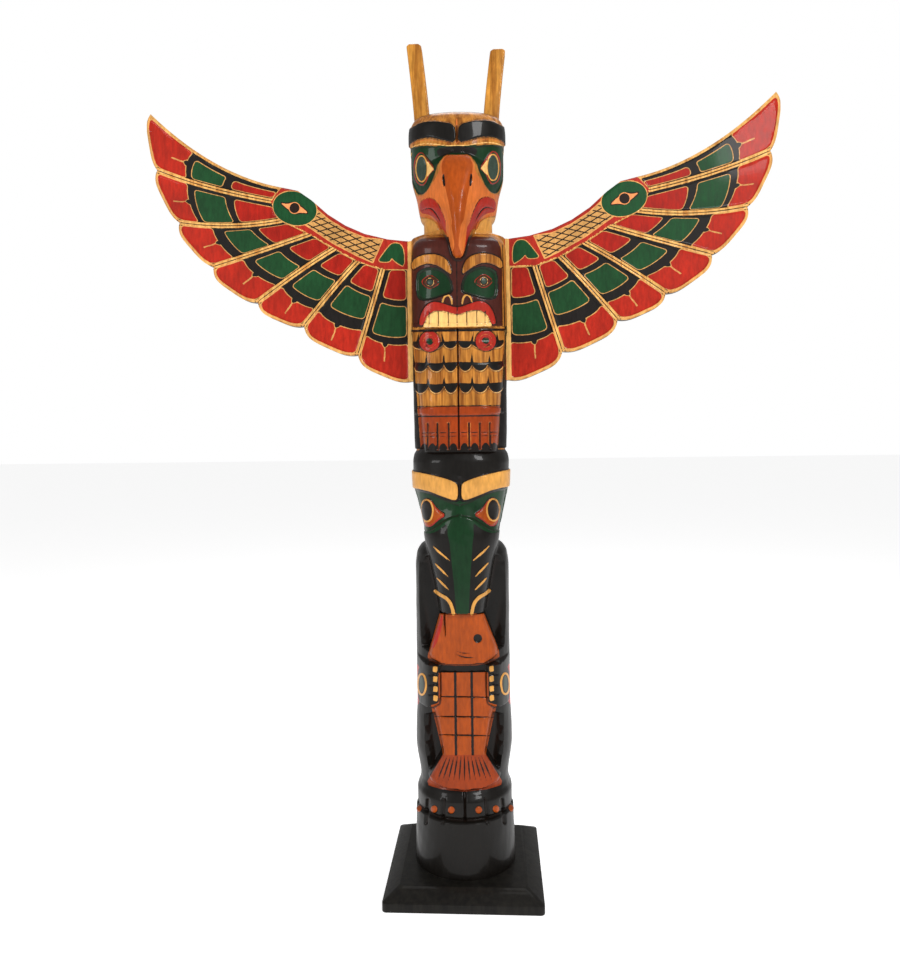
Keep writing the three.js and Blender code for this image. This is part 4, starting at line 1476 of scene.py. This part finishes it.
        edge = np.minimum(rim, np.where(x > self.root_x + 1, top, 1e6))
        rounding = 1.0 - smooth_step(0.0, self.edge_round, edge)
        sunk = sunk + self.edge_drop * rounding
        groove = (1.0 - smooth_step(0.0, 1.6, quill)) * self.groove_depth * in_feather
        co[front, 1] += (sunk + groove)[front]
        co[~front, 1] -= (self.back_drop * rounding)[~front]
        co[:, 0] = np.clip(co[:, 0], -self.reach, self.reach)
        mesh.vertices.foreach_set("co", (co * MM).astype(np.float32).ravel())
        store_value(mesh, "hollow", np.clip(sunk / 2.5 - groove, -1, 1) * 0.4)
        mesh.update()

    def _cells(
        self, facts: dict[str, Grid], quill: Grid, rim: Grid, top: Grid, root: Grid, in_feather: Grid
    ) -> dict[str, Grid]:
        """Distances from the edges of the painted cells of the feathers."""
        outside = np.where(in_feather, 0.0, self.no_cell)
        base = np.minimum(quill, np.minimum(root, top))
        outer, inner = facts["outer"], facts["inner"]
        width = outer + inner
        across = 0.5 * (outer - inner) + 0.03 * width
        near_side = np.minimum(8.4, 0.30 * width) - inner
        red_side = np.maximum(np.minimum(14.0, 0.40 * width) - outer, near_side)
        green_side = np.maximum(np.minimum(14.0, 0.34 * width) - outer, near_side)
        start, tip_start = facts["along"] * facts["length"], facts["tip_start"]
        wedge = np.abs(across) - 0.9 * np.clip(7.0 + tip_start, 0.0, 7.0)
        tip = rounded_and(tip_start - 1.4, 5.6 - base, 5.4 - rim, radius=5.0)
        cells = {
            "tip": np.maximum(tip, -np.where(tip_start > -7.0, wedge, 9.0)),
            "green": rounded_and(
                facts["green_start"] - 1.0, facts["green_end"] - 1.6, green_side, radius=5.0
            ),
            "red": rounded_and(facts["red_end"] - 1.6, red_side, 3.0 - start, radius=5.0),
            "field": rounded_and(5.2 - base, 5.0 - rim, 2.0 - start, radius=2.0),
            "split": np.maximum(np.abs(across + 0.15 * tip_start) - 0.9, np.abs(tip_start + 17.0) - 13.0),
        }
        return {key: distance + outside for key, distance in cells.items()}


# The ears and the plate


def block(name: str, size: tuple[float, float, float], middle: float = 0.0) -> bpy.types.Object:
    """A cube primitive stretched to a size, its middle at a height, nothing else selected."""
    bpy.ops.object.select_all(action="DESELECT")
    bpy.ops.mesh.primitive_cube_add(size=1.0, location=(0, 0, middle * MM))
    piece = bpy.context.object
    piece.name = piece.data.name = name
    piece.scale = [length * MM for length in size]
    bpy.ops.object.transform_apply(location=True, rotation=False, scale=True)
    return piece


def bevel(piece: bpy.types.Object, width: float, segments: int, **settings: object) -> None:
    """Rounds edges of the active object by a width, those that the modifier's settings name."""
    rounding = piece.modifiers.new("rounding", "BEVEL")
    rounding.width = width * MM
    rounding.segments = segments
    for key, value in settings.items():
        setattr(rounding, key, value)
    bpy.ops.object.modifier_apply(modifier=rounding.name)


@dataclass
class Ear:
    """A slat of clear varnished wood that stands on the head and leans outwards."""

    length: float = 145.0
    foot_z: float = 1352.0
    thickness: float = 18.0
    width_foot: float = 28.0
    width_top: float = 27.0
    x_foot: float = 62.0
    x_top: float = 76.0
    setback: float = 6.0
    edge_round: float = 2.2

    def build(self, name: str, side: int) -> bpy.types.Object:
        """Models the slat from a cube, with rounded edges and top corners.

        Args:
            name: the piece's name.
            side: 1 for the right ear and -1 for the left.

        Returns:
            The finished object.
        """
        piece = block(name, (self.width_foot, self.thickness, self.length))
        bevel(piece, self.edge_round, 3)
        bpy.ops.object.mode_set(mode="EDIT")
        for height in np.linspace(-0.5, 0.5, 34)[1:-1]:
            bpy.ops.mesh.select_all(action="SELECT")
            bpy.ops.mesh.bisect(plane_co=(0, 0, height * self.length * MM), plane_no=(0, 0, 1))
        bpy.ops.object.mode_set(mode="OBJECT")
        co = np.array([vertex.co for vertex in piece.data.vertices], float) / MM
        share = co[:, 2] / self.length + 0.5
        width = 1.0 + (self.width_top / self.width_foot - 1.0) * share
        crown = 1.0 - 0.34 * smooth_step(0.955, 1.0, share) ** 2
        lean = self.x_foot + (self.x_top - self.x_foot) * share**1.2
        co[:, 0] = side * lean + co[:, 0] * width * crown
        co[:, 1] = co[:, 1] - self.setback
        co[:, 2] = self.foot_z + share * self.length
        piece.data.vertices.foreach_set("co", (co * MM).astype(np.float32).ravel())
        piece.data.update()
        bpy.ops.object.shade_smooth_by_angle(angle=math.radians(50))
        return piece


@dataclass
class BasePlate:
    """The square plate that the log stands on, its top edge cut back in a broad chamfer."""

    side: float = 270.0
    height: float = 30.0
    chamfer: float = 27.0
    chamfer_drop: float = 15.5
    corner_radius: float = 7.0
    edge_round: float = 1.2

    def build(self, name: str) -> bpy.types.Object:
        """Models the plate from a cube: its top is extruded up and drawn in, then its edges are rounded.

        Args:
            name: the piece's name.

        Returns:
            The finished object.
        """
        low = self.height - self.chamfer_drop
        piece = block(name, (self.side, self.side, low), low / 2)
        bpy.ops.object.mode_set(mode="EDIT")
        bpy.ops.mesh.select_all(action="DESELECT")
        bpy.ops.object.mode_set(mode="OBJECT")
        for polygon in piece.data.polygons:
            polygon.select = polygon.normal.z > 0.9
        bpy.ops.object.mode_set(mode="EDIT")
        bpy.ops.mesh.extrude_region_move(TRANSFORM_OT_translate={"value": (0, 0, self.chamfer_drop * MM)})
        inner = (self.side - 2 * self.chamfer) / self.side
        bpy.ops.transform.resize(value=(inner, inner, 1.0))
        bpy.ops.object.mode_set(mode="OBJECT")
        self._round_corners(piece)
        bevel(piece, self.edge_round, 2, limit_method="ANGLE", angle_limit=math.radians(25))
        bpy.ops.object.shade_smooth_by_angle(angle=math.radians(35))
        return piece

    def _round_corners(self, piece: bpy.types.Object) -> None:
        """Rounds the four upright corners."""
        mesh = piece.data
        upright = []
        for edge in mesh.edges:
            a, b = (mesh.vertices[i].co for i in edge.vertices)
            upright.append(abs(a.z - b.z) > 1e-4 and abs(abs(a.x) - abs(a.y)) < 1e-4)
        weights = mesh.attributes.new("bevel_weight_edge", "FLOAT", "EDGE")
        weights.data.foreach_set("value", np.array(upright, np.float32))
        bevel(piece, self.corner_radius, 6, limit_method="WEIGHT")


# Finishes


COLOUR = "NodeSocketColor"
NUMBER = "NodeSocketFloat"
VECTOR = "NodeSocketVector"


def linear(colour: Colour) -> tuple[float, float, float, float]:
    """A colour given as 0 to 255 in the usual display scale, as Blender's nodes want it."""
    shares = [channel / 255.0 for channel in colour]
    return (*(s / 12.92 if s <= 0.04045 else ((s + 0.055) / 1.055) ** 2.4 for s in shares), 1.0)


class Bench:
    """Places nodes in a tree and wires them up."""

    def __init__(self, tree: bpy.types.NodeTree) -> None:
        """Starts on an empty tree."""
        self.tree = tree
        tree.nodes.clear()
        self.shelf = 0

    def add(self, kind: str, inputs: dict | None = None, **settings: object) -> bpy.types.Node:
        """Adds a node.

        Args:
            kind: the node's type name.
            inputs: by socket name or number, a value or a socket to link from.
            settings: the node's own properties.

        Returns:
            The new node.
        """
        node = self.tree.nodes.new(kind)
        node.location = (220 * (self.shelf % 12), -260 * (self.shelf // 12))
        self.shelf += 1
        for key, value in settings.items():
            setattr(node, key, value)
        for key, value in (inputs or {}).items():
            socket = node.inputs[key]
            if isinstance(value, Socket):
                self.tree.links.new(value, socket)
            else:
                socket.default_value = value
        return node

    def math(self, operation: str, *values: object) -> Socket:
        """A calculation on one to three numbers."""
        return self.add("ShaderNodeMath", dict(enumerate(values)), operation=operation).outputs[0]

    def blend(self, a: object, a_share: float, b: object, b_share: float) -> Socket:
        """The sum of two numbers, each times its share."""
        return self.math("ADD", self.math("MULTIPLY", a, a_share), self.math("MULTIPLY", b, b_share))

    def mix(self, share: object, under: object, over: object, blend: str = "MIX") -> Socket:
        """One colour laid over another."""
        inputs = {0: share, 6: under, 7: over}
        return self.add("ShaderNodeMix", inputs, data_type="RGBA", blend_type=blend).outputs[2]

    def range(
        self, value: object, low: object, high: object, start: object = 0.0, end: object = 1.0,
        kind: str = "SMOOTHSTEP"
    ) -> Socket:
        """A number carried from one range to another."""
        inputs = {"Value": value, "From Min": low, "From Max": high, "To Min": start, "To Max": end}
        return self.add("ShaderNodeMapRange", inputs, interpolation_type=kind).outputs[0]

    def value(self, name: str) -> Socket:
        """The number of a mesh attribute."""
        return self.add("ShaderNodeAttribute", attribute_name=name).outputs["Fac"]

    def parts(self, name: str) -> list[Socket]:
        """The three numbers of a mesh attribute."""
        read = self.add("ShaderNodeAttribute", attribute_name=name)
        return list(self.add("ShaderNodeSeparateXYZ", {0: read.outputs["Vector"]}).outputs)

    def noise(self, vector: object, scale: float, detail: float, along: float = 1.0) -> Socket:
        """Noise on the piece's own place, drawn out along the height where along is small."""
        mapped = self.add("ShaderNodeMapping", {"Vector": vector, "Scale": (1.0, 1.0, along)}).outputs[0]
        return self.add(
            "ShaderNodeTexNoise", {"Vector": mapped, "Scale": scale, "Detail": detail}
        ).outputs[0]

    def group(self, tree: bpy.types.NodeTree, inputs: dict) -> bpy.types.NodeOutputs:
        """The outputs of a node group put to use."""
        return self.add("ShaderNodeGroup", inputs, node_tree=tree).outputs


def new_group(
    name: str, inputs: dict[str, tuple[str, object]], outputs: dict[str, str]
) -> tuple[bpy.types.NodeTree, Bench, bpy.types.NodeOutputs]:
    """An empty node group with named sockets.

    Args:
        name: the group's name.
        inputs: by name, the socket's kind and its starting value.
        outputs: by name, the socket's kind.

    Returns:
        The group, a bench to fill it, and its inputs.
    """
    tree = bpy.data.node_groups.new(name, "ShaderNodeTree")
    bench = Bench(tree)
    for label, (kind, value) in inputs.items():
        socket = tree.interface.new_socket(name=label, in_out="INPUT", socket_type=kind)
        if value is not None:
            socket.default_value = value
    for label, kind in outputs.items():
        tree.interface.new_socket(name=label, in_out="OUTPUT", socket_type=kind)
    return tree, bench, bench.add("NodeGroupInput").outputs


class Effects:
    """Node groups that several finishes share."""

    brush_edge: float = 0.3
    wash_colour: Colour = (24, 15, 10)
    rubbed_colour: Colour = (206, 150, 84)

    def __init__(self) -> None:
        """Builds each group once."""
        self.coat = self._paint("Coat with a brushed edge", along_edge=False)
        self.line = self._paint("Line along an edge", along_edge=True)
        self.wood = self._wood()
        self.age = self._age()

    def _paint(self, name: str, along_edge: bool) -> bpy.types.NodeTree:
        """Paint inside a shape, or in a line along its edge, with a rim drawn by hand."""
        inputs = {
            "Under": (COLOUR, None), "Paint": (COLOUR, None), "Distance": (NUMBER, FAR),
            "Wobble": (NUMBER, 0.0),
        }
        if along_edge:
            inputs |= {"Offset": (NUMBER, 0.0), "Width": (NUMBER, 1.4)}
        tree, bench, given = new_group(name, inputs, {"Colour": COLOUR})
        edge = given["Distance"]
        if along_edge:
            off = bench.math("ABSOLUTE", bench.math("SUBTRACT", edge, given["Offset"]))
            edge = bench.math("SUBTRACT", off, bench.math("MULTIPLY", given["Width"], 0.5))
        edge = bench.math("ADD", edge, given["Wobble"])
        mask = bench.range(edge, self.brush_edge, -self.brush_edge)
        bench.add("NodeGroupOutput", {"Colour": bench.mix(mask, given["Under"], given["Paint"])})
        return tree

    def _wood(self) -> bpy.types.NodeTree:
        """Long grain and brush streaks, as numbers from 0 to 1, and a small wobble in millimetres."""
        tree, bench, given = new_group(
            "Grain and brush strokes",
            {"Position": (VECTOR, None), "Wobble size": (NUMBER, 0.5)},
            dict.fromkeys(("Grain", "Brush", "Wobble", "Blotch"), NUMBER),
        )
        place = given["Position"]
        coarse = bench.noise(place, 95.0, 5.0, 0.07)
        fine = bench.noise(place, 420.0, 3.0, 0.05)
        uneven = bench.math("SUBTRACT", bench.noise(place, 160.0, 2.0), 0.5)
        wobble = bench.math("MULTIPLY", bench.math("MULTIPLY", uneven, given["Wobble size"]), 2.6)
        outputs = {
            "Grain": bench.blend(coarse, 0.65, fine, 0.35),
            "Brush": bench.noise(place, 210.0, 4.0, 0.28),
            "Wobble": wobble,
            "Blotch": bench.noise(place, 16.0, 3.0),
        }
        bench.add("NodeGroupOutput", outputs)
        return tree

    def _age(self) -> bpy.types.NodeTree:
        """Dark wash left in the hollows and paint rubbed thin on the ridges."""
        starts = {"Hollow": 0.0, "Brush": 0.5, "Blotch": 0.5, "Wash": 0.0, "Wear": 0.0, "Streaks": 0.2}
        inputs = {"Colour": (COLOUR, None)} | {name: (NUMBER, value) for name, value in starts.items()}
        tree, bench, given = new_group("Wash and wear", inputs, {"Colour": COLOUR, "Gloss": NUMBER})
        low = bench.math("SUBTRACT", 1.0, given["Streaks"])
        high = bench.math("ADD", 1.0, given["Streaks"])
        streak = bench.range(given["Brush"], 0.3, 0.7, low, high, "LINEAR")
        mottle = bench.range(given["Blotch"], 0.3, 0.7, 0.82, 1.1, "LINEAR")
        level = bench.math("MULTIPLY", streak, mottle)
        grey = bench.add("ShaderNodeCombineColor", {0: level, 1: level, 2: level}).outputs[0]
        colour = bench.mix(1.0, given["Colour"], grey, "MULTIPLY")
        wash = bench.math("MULTIPLY", bench.range(given["Hollow"], 0.08, 0.7), given["Wash"])
        colour = bench.mix(wash, colour, linear(self.wash_colour))
        rubbed = bench.range(bench.blend(given["Hollow"], -1.0, given["Brush"], 0.5), 0.62, 1.05)
        wear = bench.math("MULTIPLY", rubbed, given["Wear"])
        colour = bench.mix(wear, colour, linear(self.rubbed_colour))
        gloss = bench.blend(given["Brush"], 0.22, wear, 0.2)
        bench.add("NodeGroupOutput", {"Colour": colour, "Gloss": gloss})
        return tree


@dataclass(frozen=True)
class Varnish:
    """The clear coat over the paint and how smooth the surface is."""

    roughness: float = 0.31
    coat: float = 0.17
    coat_roughness: float = 0.06
    specular: float = 0.12
    bump: float = 0.35
    bump_depth: float = 0.0006


@dataclass(frozen=True, kw_only=True)
class Finish:
    """What all finishes share: the grain below the colour, the wash and the varnish above it.

    Relief is the share of the brush strokes and of the grain in the fine relief.
    """

    effects: Effects
    wobble: float = 0.5
    wash: float = 0.0
    wear: float = 0.0
    streaks: float = 0.2
    relief: tuple[float, float] = (0.5, 0.5)
    varnish: Varnish = Varnish()

    def colour(self, bench: Bench, wood: bpy.types.NodeOutputs) -> Socket:
        """The clean colours of the piece.

        Args:
            bench: the material's tree.
            wood: grain, brush strokes and wobble.

        Returns:
            The colour.
        """
        raise NotImplementedError

    def make(self, name: str) -> bpy.types.Material:
        """The material of this name."""
        material = bpy.data.materials.new(name)
        material.use_nodes = True
        bench = Bench(material.node_tree)
        place = bench.add("ShaderNodeTexCoord").outputs["Object"]
        wood = bench.group(self.effects.wood, {"Position": place, "Wobble size": self.wobble})
        inputs = {
            "Colour": self.colour(bench, wood), "Brush": wood["Brush"], "Blotch": wood["Blotch"],
            "Wash": self.wash, "Wear": self.wear, "Streaks": self.streaks,
        }
        if self.wash:
            inputs["Hollow"] = bench.value("hollow")
        aged = bench.group(self.effects.age, inputs)
        height = bench.blend(wood["Brush"], self.relief[0], wood["Grain"], self.relief[1])
        varnish = self.varnish
        bump = {"Strength": varnish.bump, "Distance": varnish.bump_depth, "Height": height}
        surface = {
            "Base Color": aged["Colour"],
            "Roughness": bench.math("ADD", aged["Gloss"], varnish.roughness),
            "Normal": bench.add("ShaderNodeBump", bump).outputs[0],
            "Coat Weight": varnish.coat,
            "Coat Roughness": varnish.coat_roughness,
            "Specular IOR Level": varnish.specular,
        }
        shader = bench.add("ShaderNodeBsdfPrincipled", surface)
        bench.add("ShaderNodeOutputMaterial", {"Surface": shader.outputs[0]})
        return material


@dataclass(frozen=True, kw_only=True)
class LogFinish(Finish):
    """Oil colours over stained wood, in the order in which they are brushed on."""

    wash: float = 0.8
    streaks: float = 0.17
    relief: tuple[float, float] = (0.6, 0.5)
    wood: Colour = (192, 126, 50)
    wood_dark: Colour = (126, 70, 20)
    coats: tuple[tuple[Coat, Colour], ...] = (
        (Coat.BLACK, (17, 14, 11)),
        (Coat.BEAK, (198, 104, 44)),
        (Coat.ORANGE, (156, 66, 8)),
        (Coat.RUST, (142, 52, 8)),
        (Coat.MAROON, (66, 26, 18)),
        (Coat.GREEN, (10, 46, 20)),
        (Coat.RED, (160, 34, 20)),
        (Coat.GOLD, (208, 148, 70)),
        (Coat.LID, (84, 34, 22)),
        (Coat.DARK, (20, 15, 12)),
        (Coat.LIGHT, (236, 186, 110)),
        # Pupils and forearm disc centres; on the pupils the grey is partly a painted reflection.
        (Coat.IRIS, (50, 64, 54)),
    )

    def colour(self, bench: Bench, wood: bpy.types.NodeOutputs) -> Socket:
        """Bare wood with the coats over it."""
        grain = bench.range(wood["Grain"], 0.36, 0.62)
        colour = bench.mix(grain, linear(self.wood_dark), linear(self.wood))
        distances = [socket for name in COAT_NAMES for socket in bench.parts(name)]
        for coat, paint in self.coats:
            inputs = {"Under": colour, "Paint": linear(paint), "Distance": distances[coat.value]}
            colour = bench.group(self.effects.coat, inputs | {"Wobble": wood["Wobble"]})["Colour"]
        return colour


@dataclass(frozen=True, kw_only=True)
class WingFinish(Finish):
    """Oil colours on a planed board, every cell drawn round with a thin gold line."""

    wobble: float = 0.45
    wash: float = 0.3
    wear: float = 0.2
    relief: tuple[float, float] = (0.7, 0.4)
    varnish: Varnish = Varnish(roughness=0.35, coat=0.08)
    gold: Colour = (228, 176, 100)
    gold_dark: Colour = (186, 124, 56)
    gold_line: Colour = (216, 158, 90)
    black: Colour = (24, 21, 19)
    tip_red: Colour = (178, 36, 18)
    red: Colour = (168, 28, 14)
    green: Colour = (20, 68, 34)
    root_red: Colour = (166, 40, 26)
    net: Colour = (198, 146, 82)
    dark: Colour = (34, 22, 16)
    lid: Colour = (226, 142, 84)
    net_angles: tuple[float, float] = (-31.0, 14.0)
    net_pitch: float = 10.4
    net_line: float = 2.1
    net_edge: float = 0.35

    def colour(self, bench: Bench, wood: bpy.types.NodeOutputs) -> Socket:
        """Gold wood with the feathers, the eye, the netted arm and the root on it, and black behind."""
        tip, green, red = bench.parts("cells")
        quill, rim, net = bench.parts("bands")
        ground, split, in_arm = bench.parts("field")
        eye, almond, pupil = bench.parts("eye")
        out, up, root = bench.parts("plan")
        mark = bench.value("mark")
        ground_coats = (
            (self.dark, quill, 0.0, 1.5), (self.dark, quill, 4.9, 1.3), (self.gold_line, rim, 3.0, 1.6),
            (self.black, ground),
            (self.tip_red, tip), (self.gold_line, tip, 0.8, 1.5),
            (self.green, green), (self.gold_line, green, 0.8, 1.5),
            (self.red, red), (self.gold_line, red, 0.8, 1.5),
            (self.gold_line, split, 0.0, 1.2),
            (self.root_red, bench.math("MULTIPLY", in_arm, -3.0)),
            (self.net, net),
        )
        marks = (
            (self.gold_line, net, 0.9, 1.6),
            (self.green, mark), (self.gold_line, mark, 0.6, 1.2),
            (self.green, eye), (self.gold_line, eye, 0.6, 1.4),
            (self.lid, almond), (self.dark, almond, 0.6, 2.0),
            (self.dark, pupil), (self.lid, pupil, 0.8, 1.4),
            (self.gold, bench.math("SUBTRACT", root, 3.6)),
        )
        grain = bench.range(wood["Grain"], 0.36, 0.6)
        colour = bench.mix(grain, linear(self.gold_dark), linear(self.gold))
        colour = self._lay(bench, colour, wood["Wobble"], ground_coats)
        colour = self._netting(bench, colour, net, out, up)
        colour = self._lay(bench, colour, wood["Wobble"], marks)
        place = bench.add("ShaderNodeTexCoord").outputs["Object"]
        depth = bench.add("ShaderNodeSeparateXYZ", {0: place}).outputs[1]
        return bench.mix(bench.range(depth, -0.006, -0.004), colour, linear(self.black))

    def _lay(self, bench: Bench, under: object, wobble: object, layers: tuple) -> Socket:
        """Lays coats inside shapes, or lines along their edges where an offset and a width are given."""
        colour = under
        for paint, distance, *line in layers:
            inputs = {"Under": colour, "Paint": linear(paint), "Distance": distance, "Wobble": wobble}
            if line:
                inputs |= {"Offset": line[0], "Width": line[1]}
            colour = bench.group(self.effects.line if line else self.effects.coat, inputs)["Colour"]
        return colour

    def _netting(
        self, bench: Bench, under: object, inside: object, out: object, up: object
    ) -> Socket:
        """Crossed dark lines on the arm, about a centimetre apart."""
        colour = under
        for angle in self.net_angles:
            turn = math.radians(angle)
            across = bench.blend(up, math.cos(turn), out, math.sin(turn))
            cell = bench.math("FRACT", bench.math("DIVIDE", across, self.net_pitch))
            step = bench.math("ABSOLUTE", bench.math("SUBTRACT", cell, 0.5))
            off = bench.math("SUBTRACT", bench.math("MULTIPLY", step, self.net_pitch), 0.5 * self.net_line)
            distance = bench.math("MAXIMUM", off, bench.math("ADD", inside, 1.0))
            mask = bench.range(distance, self.net_edge, -self.net_edge)
            colour = bench.mix(mask, colour, linear(self.dark))
        return colour


@dataclass(frozen=True, kw_only=True)
class PlainFinish(Finish):
    """One stain or paint over the wood, for the ears and the plate."""

    light: Colour
    dark: Colour
    wobble: float = 0.4

    def colour(self, bench: Bench, wood: bpy.types.NodeOutputs) -> Socket:
        """The stain, darker along the grain."""
        grain = bench.range(wood["Grain"], 0.36, 0.62)
        return bench.mix(grain, linear(self.dark), linear(self.light))


# The studio


@dataclass
class Studio:
    """A pale floor, soft light from large panels, and the camera at the photograph's place."""

    distance: float = 1425.0
    eye_height: float = 781.0
    azimuth: float = 2.4
    yaw: float = 0.78
    roll: float = -0.7
    focal_pixels: float = 784.0
    horizon_pixels: float = 41.0
    floor_size: float = 60.0
    room_light: float = 0.42
    floor_glow: float = 0.54

    def build(self) -> None:
        """Sets up the floor, the lights and the camera."""
        bpy.context.scene.view_settings.view_transform = "Standard"
        self._floor()
        self._world()
        self._panel("key", (1.5, -2.3, 2.5), (0, 0, 0.75), 0.9, 54.0)
        self._panel("fill", (-2.0, -2.0, 1.5), (0, 0, 0.75), 0.9, 23.0)
        self._panel("top", (0.2, 0.8, 3.0), (0, 0, 0.9), 1.6, 24.0)
        self._camera()

    def _floor(self) -> None:
        """The floor, which isn't part of the object."""
        bpy.ops.object.select_all(action="DESELECT")
        bpy.ops.mesh.primitive_plane_add(size=self.floor_size)
        floor = bpy.context.object
        floor.name = "floor"
        material = bpy.data.materials.new("pale floor")
        material.use_nodes = True
        shader = material.node_tree.nodes["Principled BSDF"]
        pale = {"Base Color": (0.93, 0.93, 0.93, 1.0), "Roughness": 0.9}
        glow = {"Emission Color": (1.0, 1.0, 1.0, 1.0), "Emission Strength": self.floor_glow}
        for name, value in (pale | glow).items():
            shader.inputs[name].default_value = value
        floor.data.materials.append(material)

    def _world(self) -> None:
        """Even light from all round."""
        world = bpy.data.worlds.new("studio")
        bpy.context.scene.world = world
        world.use_nodes = True
        bench = Bench(world.node_tree)
        seen = bench.add("ShaderNodeLightPath").outputs["Is Camera Ray"]
        strength = bench.range(seen, 0.0, 1.0, self.room_light, 1.0)
        sky = bench.add("ShaderNodeBackground", {"Color": (1.0, 1.0, 1.0, 1.0), "Strength": strength})
        bench.add("ShaderNodeOutputWorld", {"Surface": sky.outputs[0]})

    def _panel(
        self, name: str, place: tuple[float, float, float], target: tuple[float, float, float], size: float,
        watts: float
    ) -> None:
        """A large soft light aimed at a point."""
        bpy.ops.object.light_add(type="AREA", location=place)
        lamp = bpy.context.object
        lamp.name = name
        lamp.data.size = size
        lamp.data.energy = watts
        lamp.rotation_euler = (Vector(target) - Vector(place)).to_track_quat("-Z", "Y").to_euler()

    def _camera(self) -> None:
        """The camera, nearly level, with a small shift for the photograph's framing."""
        data = bpy.data.cameras.new("camera")
        camera = bpy.data.objects.new("camera", data)
        bpy.context.scene.collection.objects.link(camera)
        data.sensor_width = 36.0
        data.lens = self.focal_pixels / PHOTO_SIZE[1] * data.sensor_width
        data.shift_y = -self.horizon_pixels / PHOTO_SIZE[1]
        turn = math.radians(self.azimuth)
        place = Vector(
            (math.sin(turn) * self.distance, -math.cos(turn) * self.distance, self.eye_height)
        ) * MM
        camera.matrix_world = (
            Matrix.Translation(place)
            @ Matrix.Rotation(math.radians(self.azimuth + self.yaw), 4, "Z")
            @ Matrix.Rotation(math.radians(90.0), 4, "X")
            @ Matrix.Rotation(math.radians(self.roll), 4, "Z")
        )
        bpy.context.scene.camera = camera


def settle(piece: bpy.types.Object, material: bpy.types.Material, slot: str, *nodes: str) -> None:
    """Gives a piece its material and its place in the frame.

    Args:
        piece: the finished object.
        material: its finish.
        slot: the record's material slot; not used.
        nodes: the solids of the part that it stands for.
    """
    piece.data.materials.clear()
    piece.data.materials.append(material)
    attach(piece, "root")
    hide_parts(*nodes)
    LOG.info("%s: %d faces", piece.name, len(piece.data.polygons))


def main() -> None:
    logging.basicConfig(level=logging.INFO, format="%(message)s")
    effects = Effects()
    log_material = LogFinish(effects=effects).make("painted log")
    log = CarvedLog()
    for part in log.parts:
        settle(log.build(part), log_material, "log_paint", "carved_log")
    wing_material = WingFinish(effects=effects).make("painted wing")
    wing = Wing()
    for name, side in (("wing_right", 1), ("wing_left", -1)):
        settle(wing.build(f"{name}_board", side), wing_material, "wing_paint", name)
    ear_material = PlainFinish(
        effects=effects, light=(198, 136, 54), dark=(150, 92, 28)
    ).make("stained ear")
    for name, side, length in (("ear_right", 1, 130.0), ("ear_left", -1, 145.0)):
        settle(Ear(length=length).build(f"{name}_slat", side), ear_material, "ear_stain", name)
    dull = Varnish(roughness=0.39, coat=0.08)
    base_finish = PlainFinish(effects=effects, light=(27, 25, 21), dark=(17, 15, 13), varnish=dull)
    settle(BasePlate().build("base_board"), base_finish.make("painted base"), "base_paint", "base_plate")
    Studio().build()


if __name__ == "__main__":
    main()
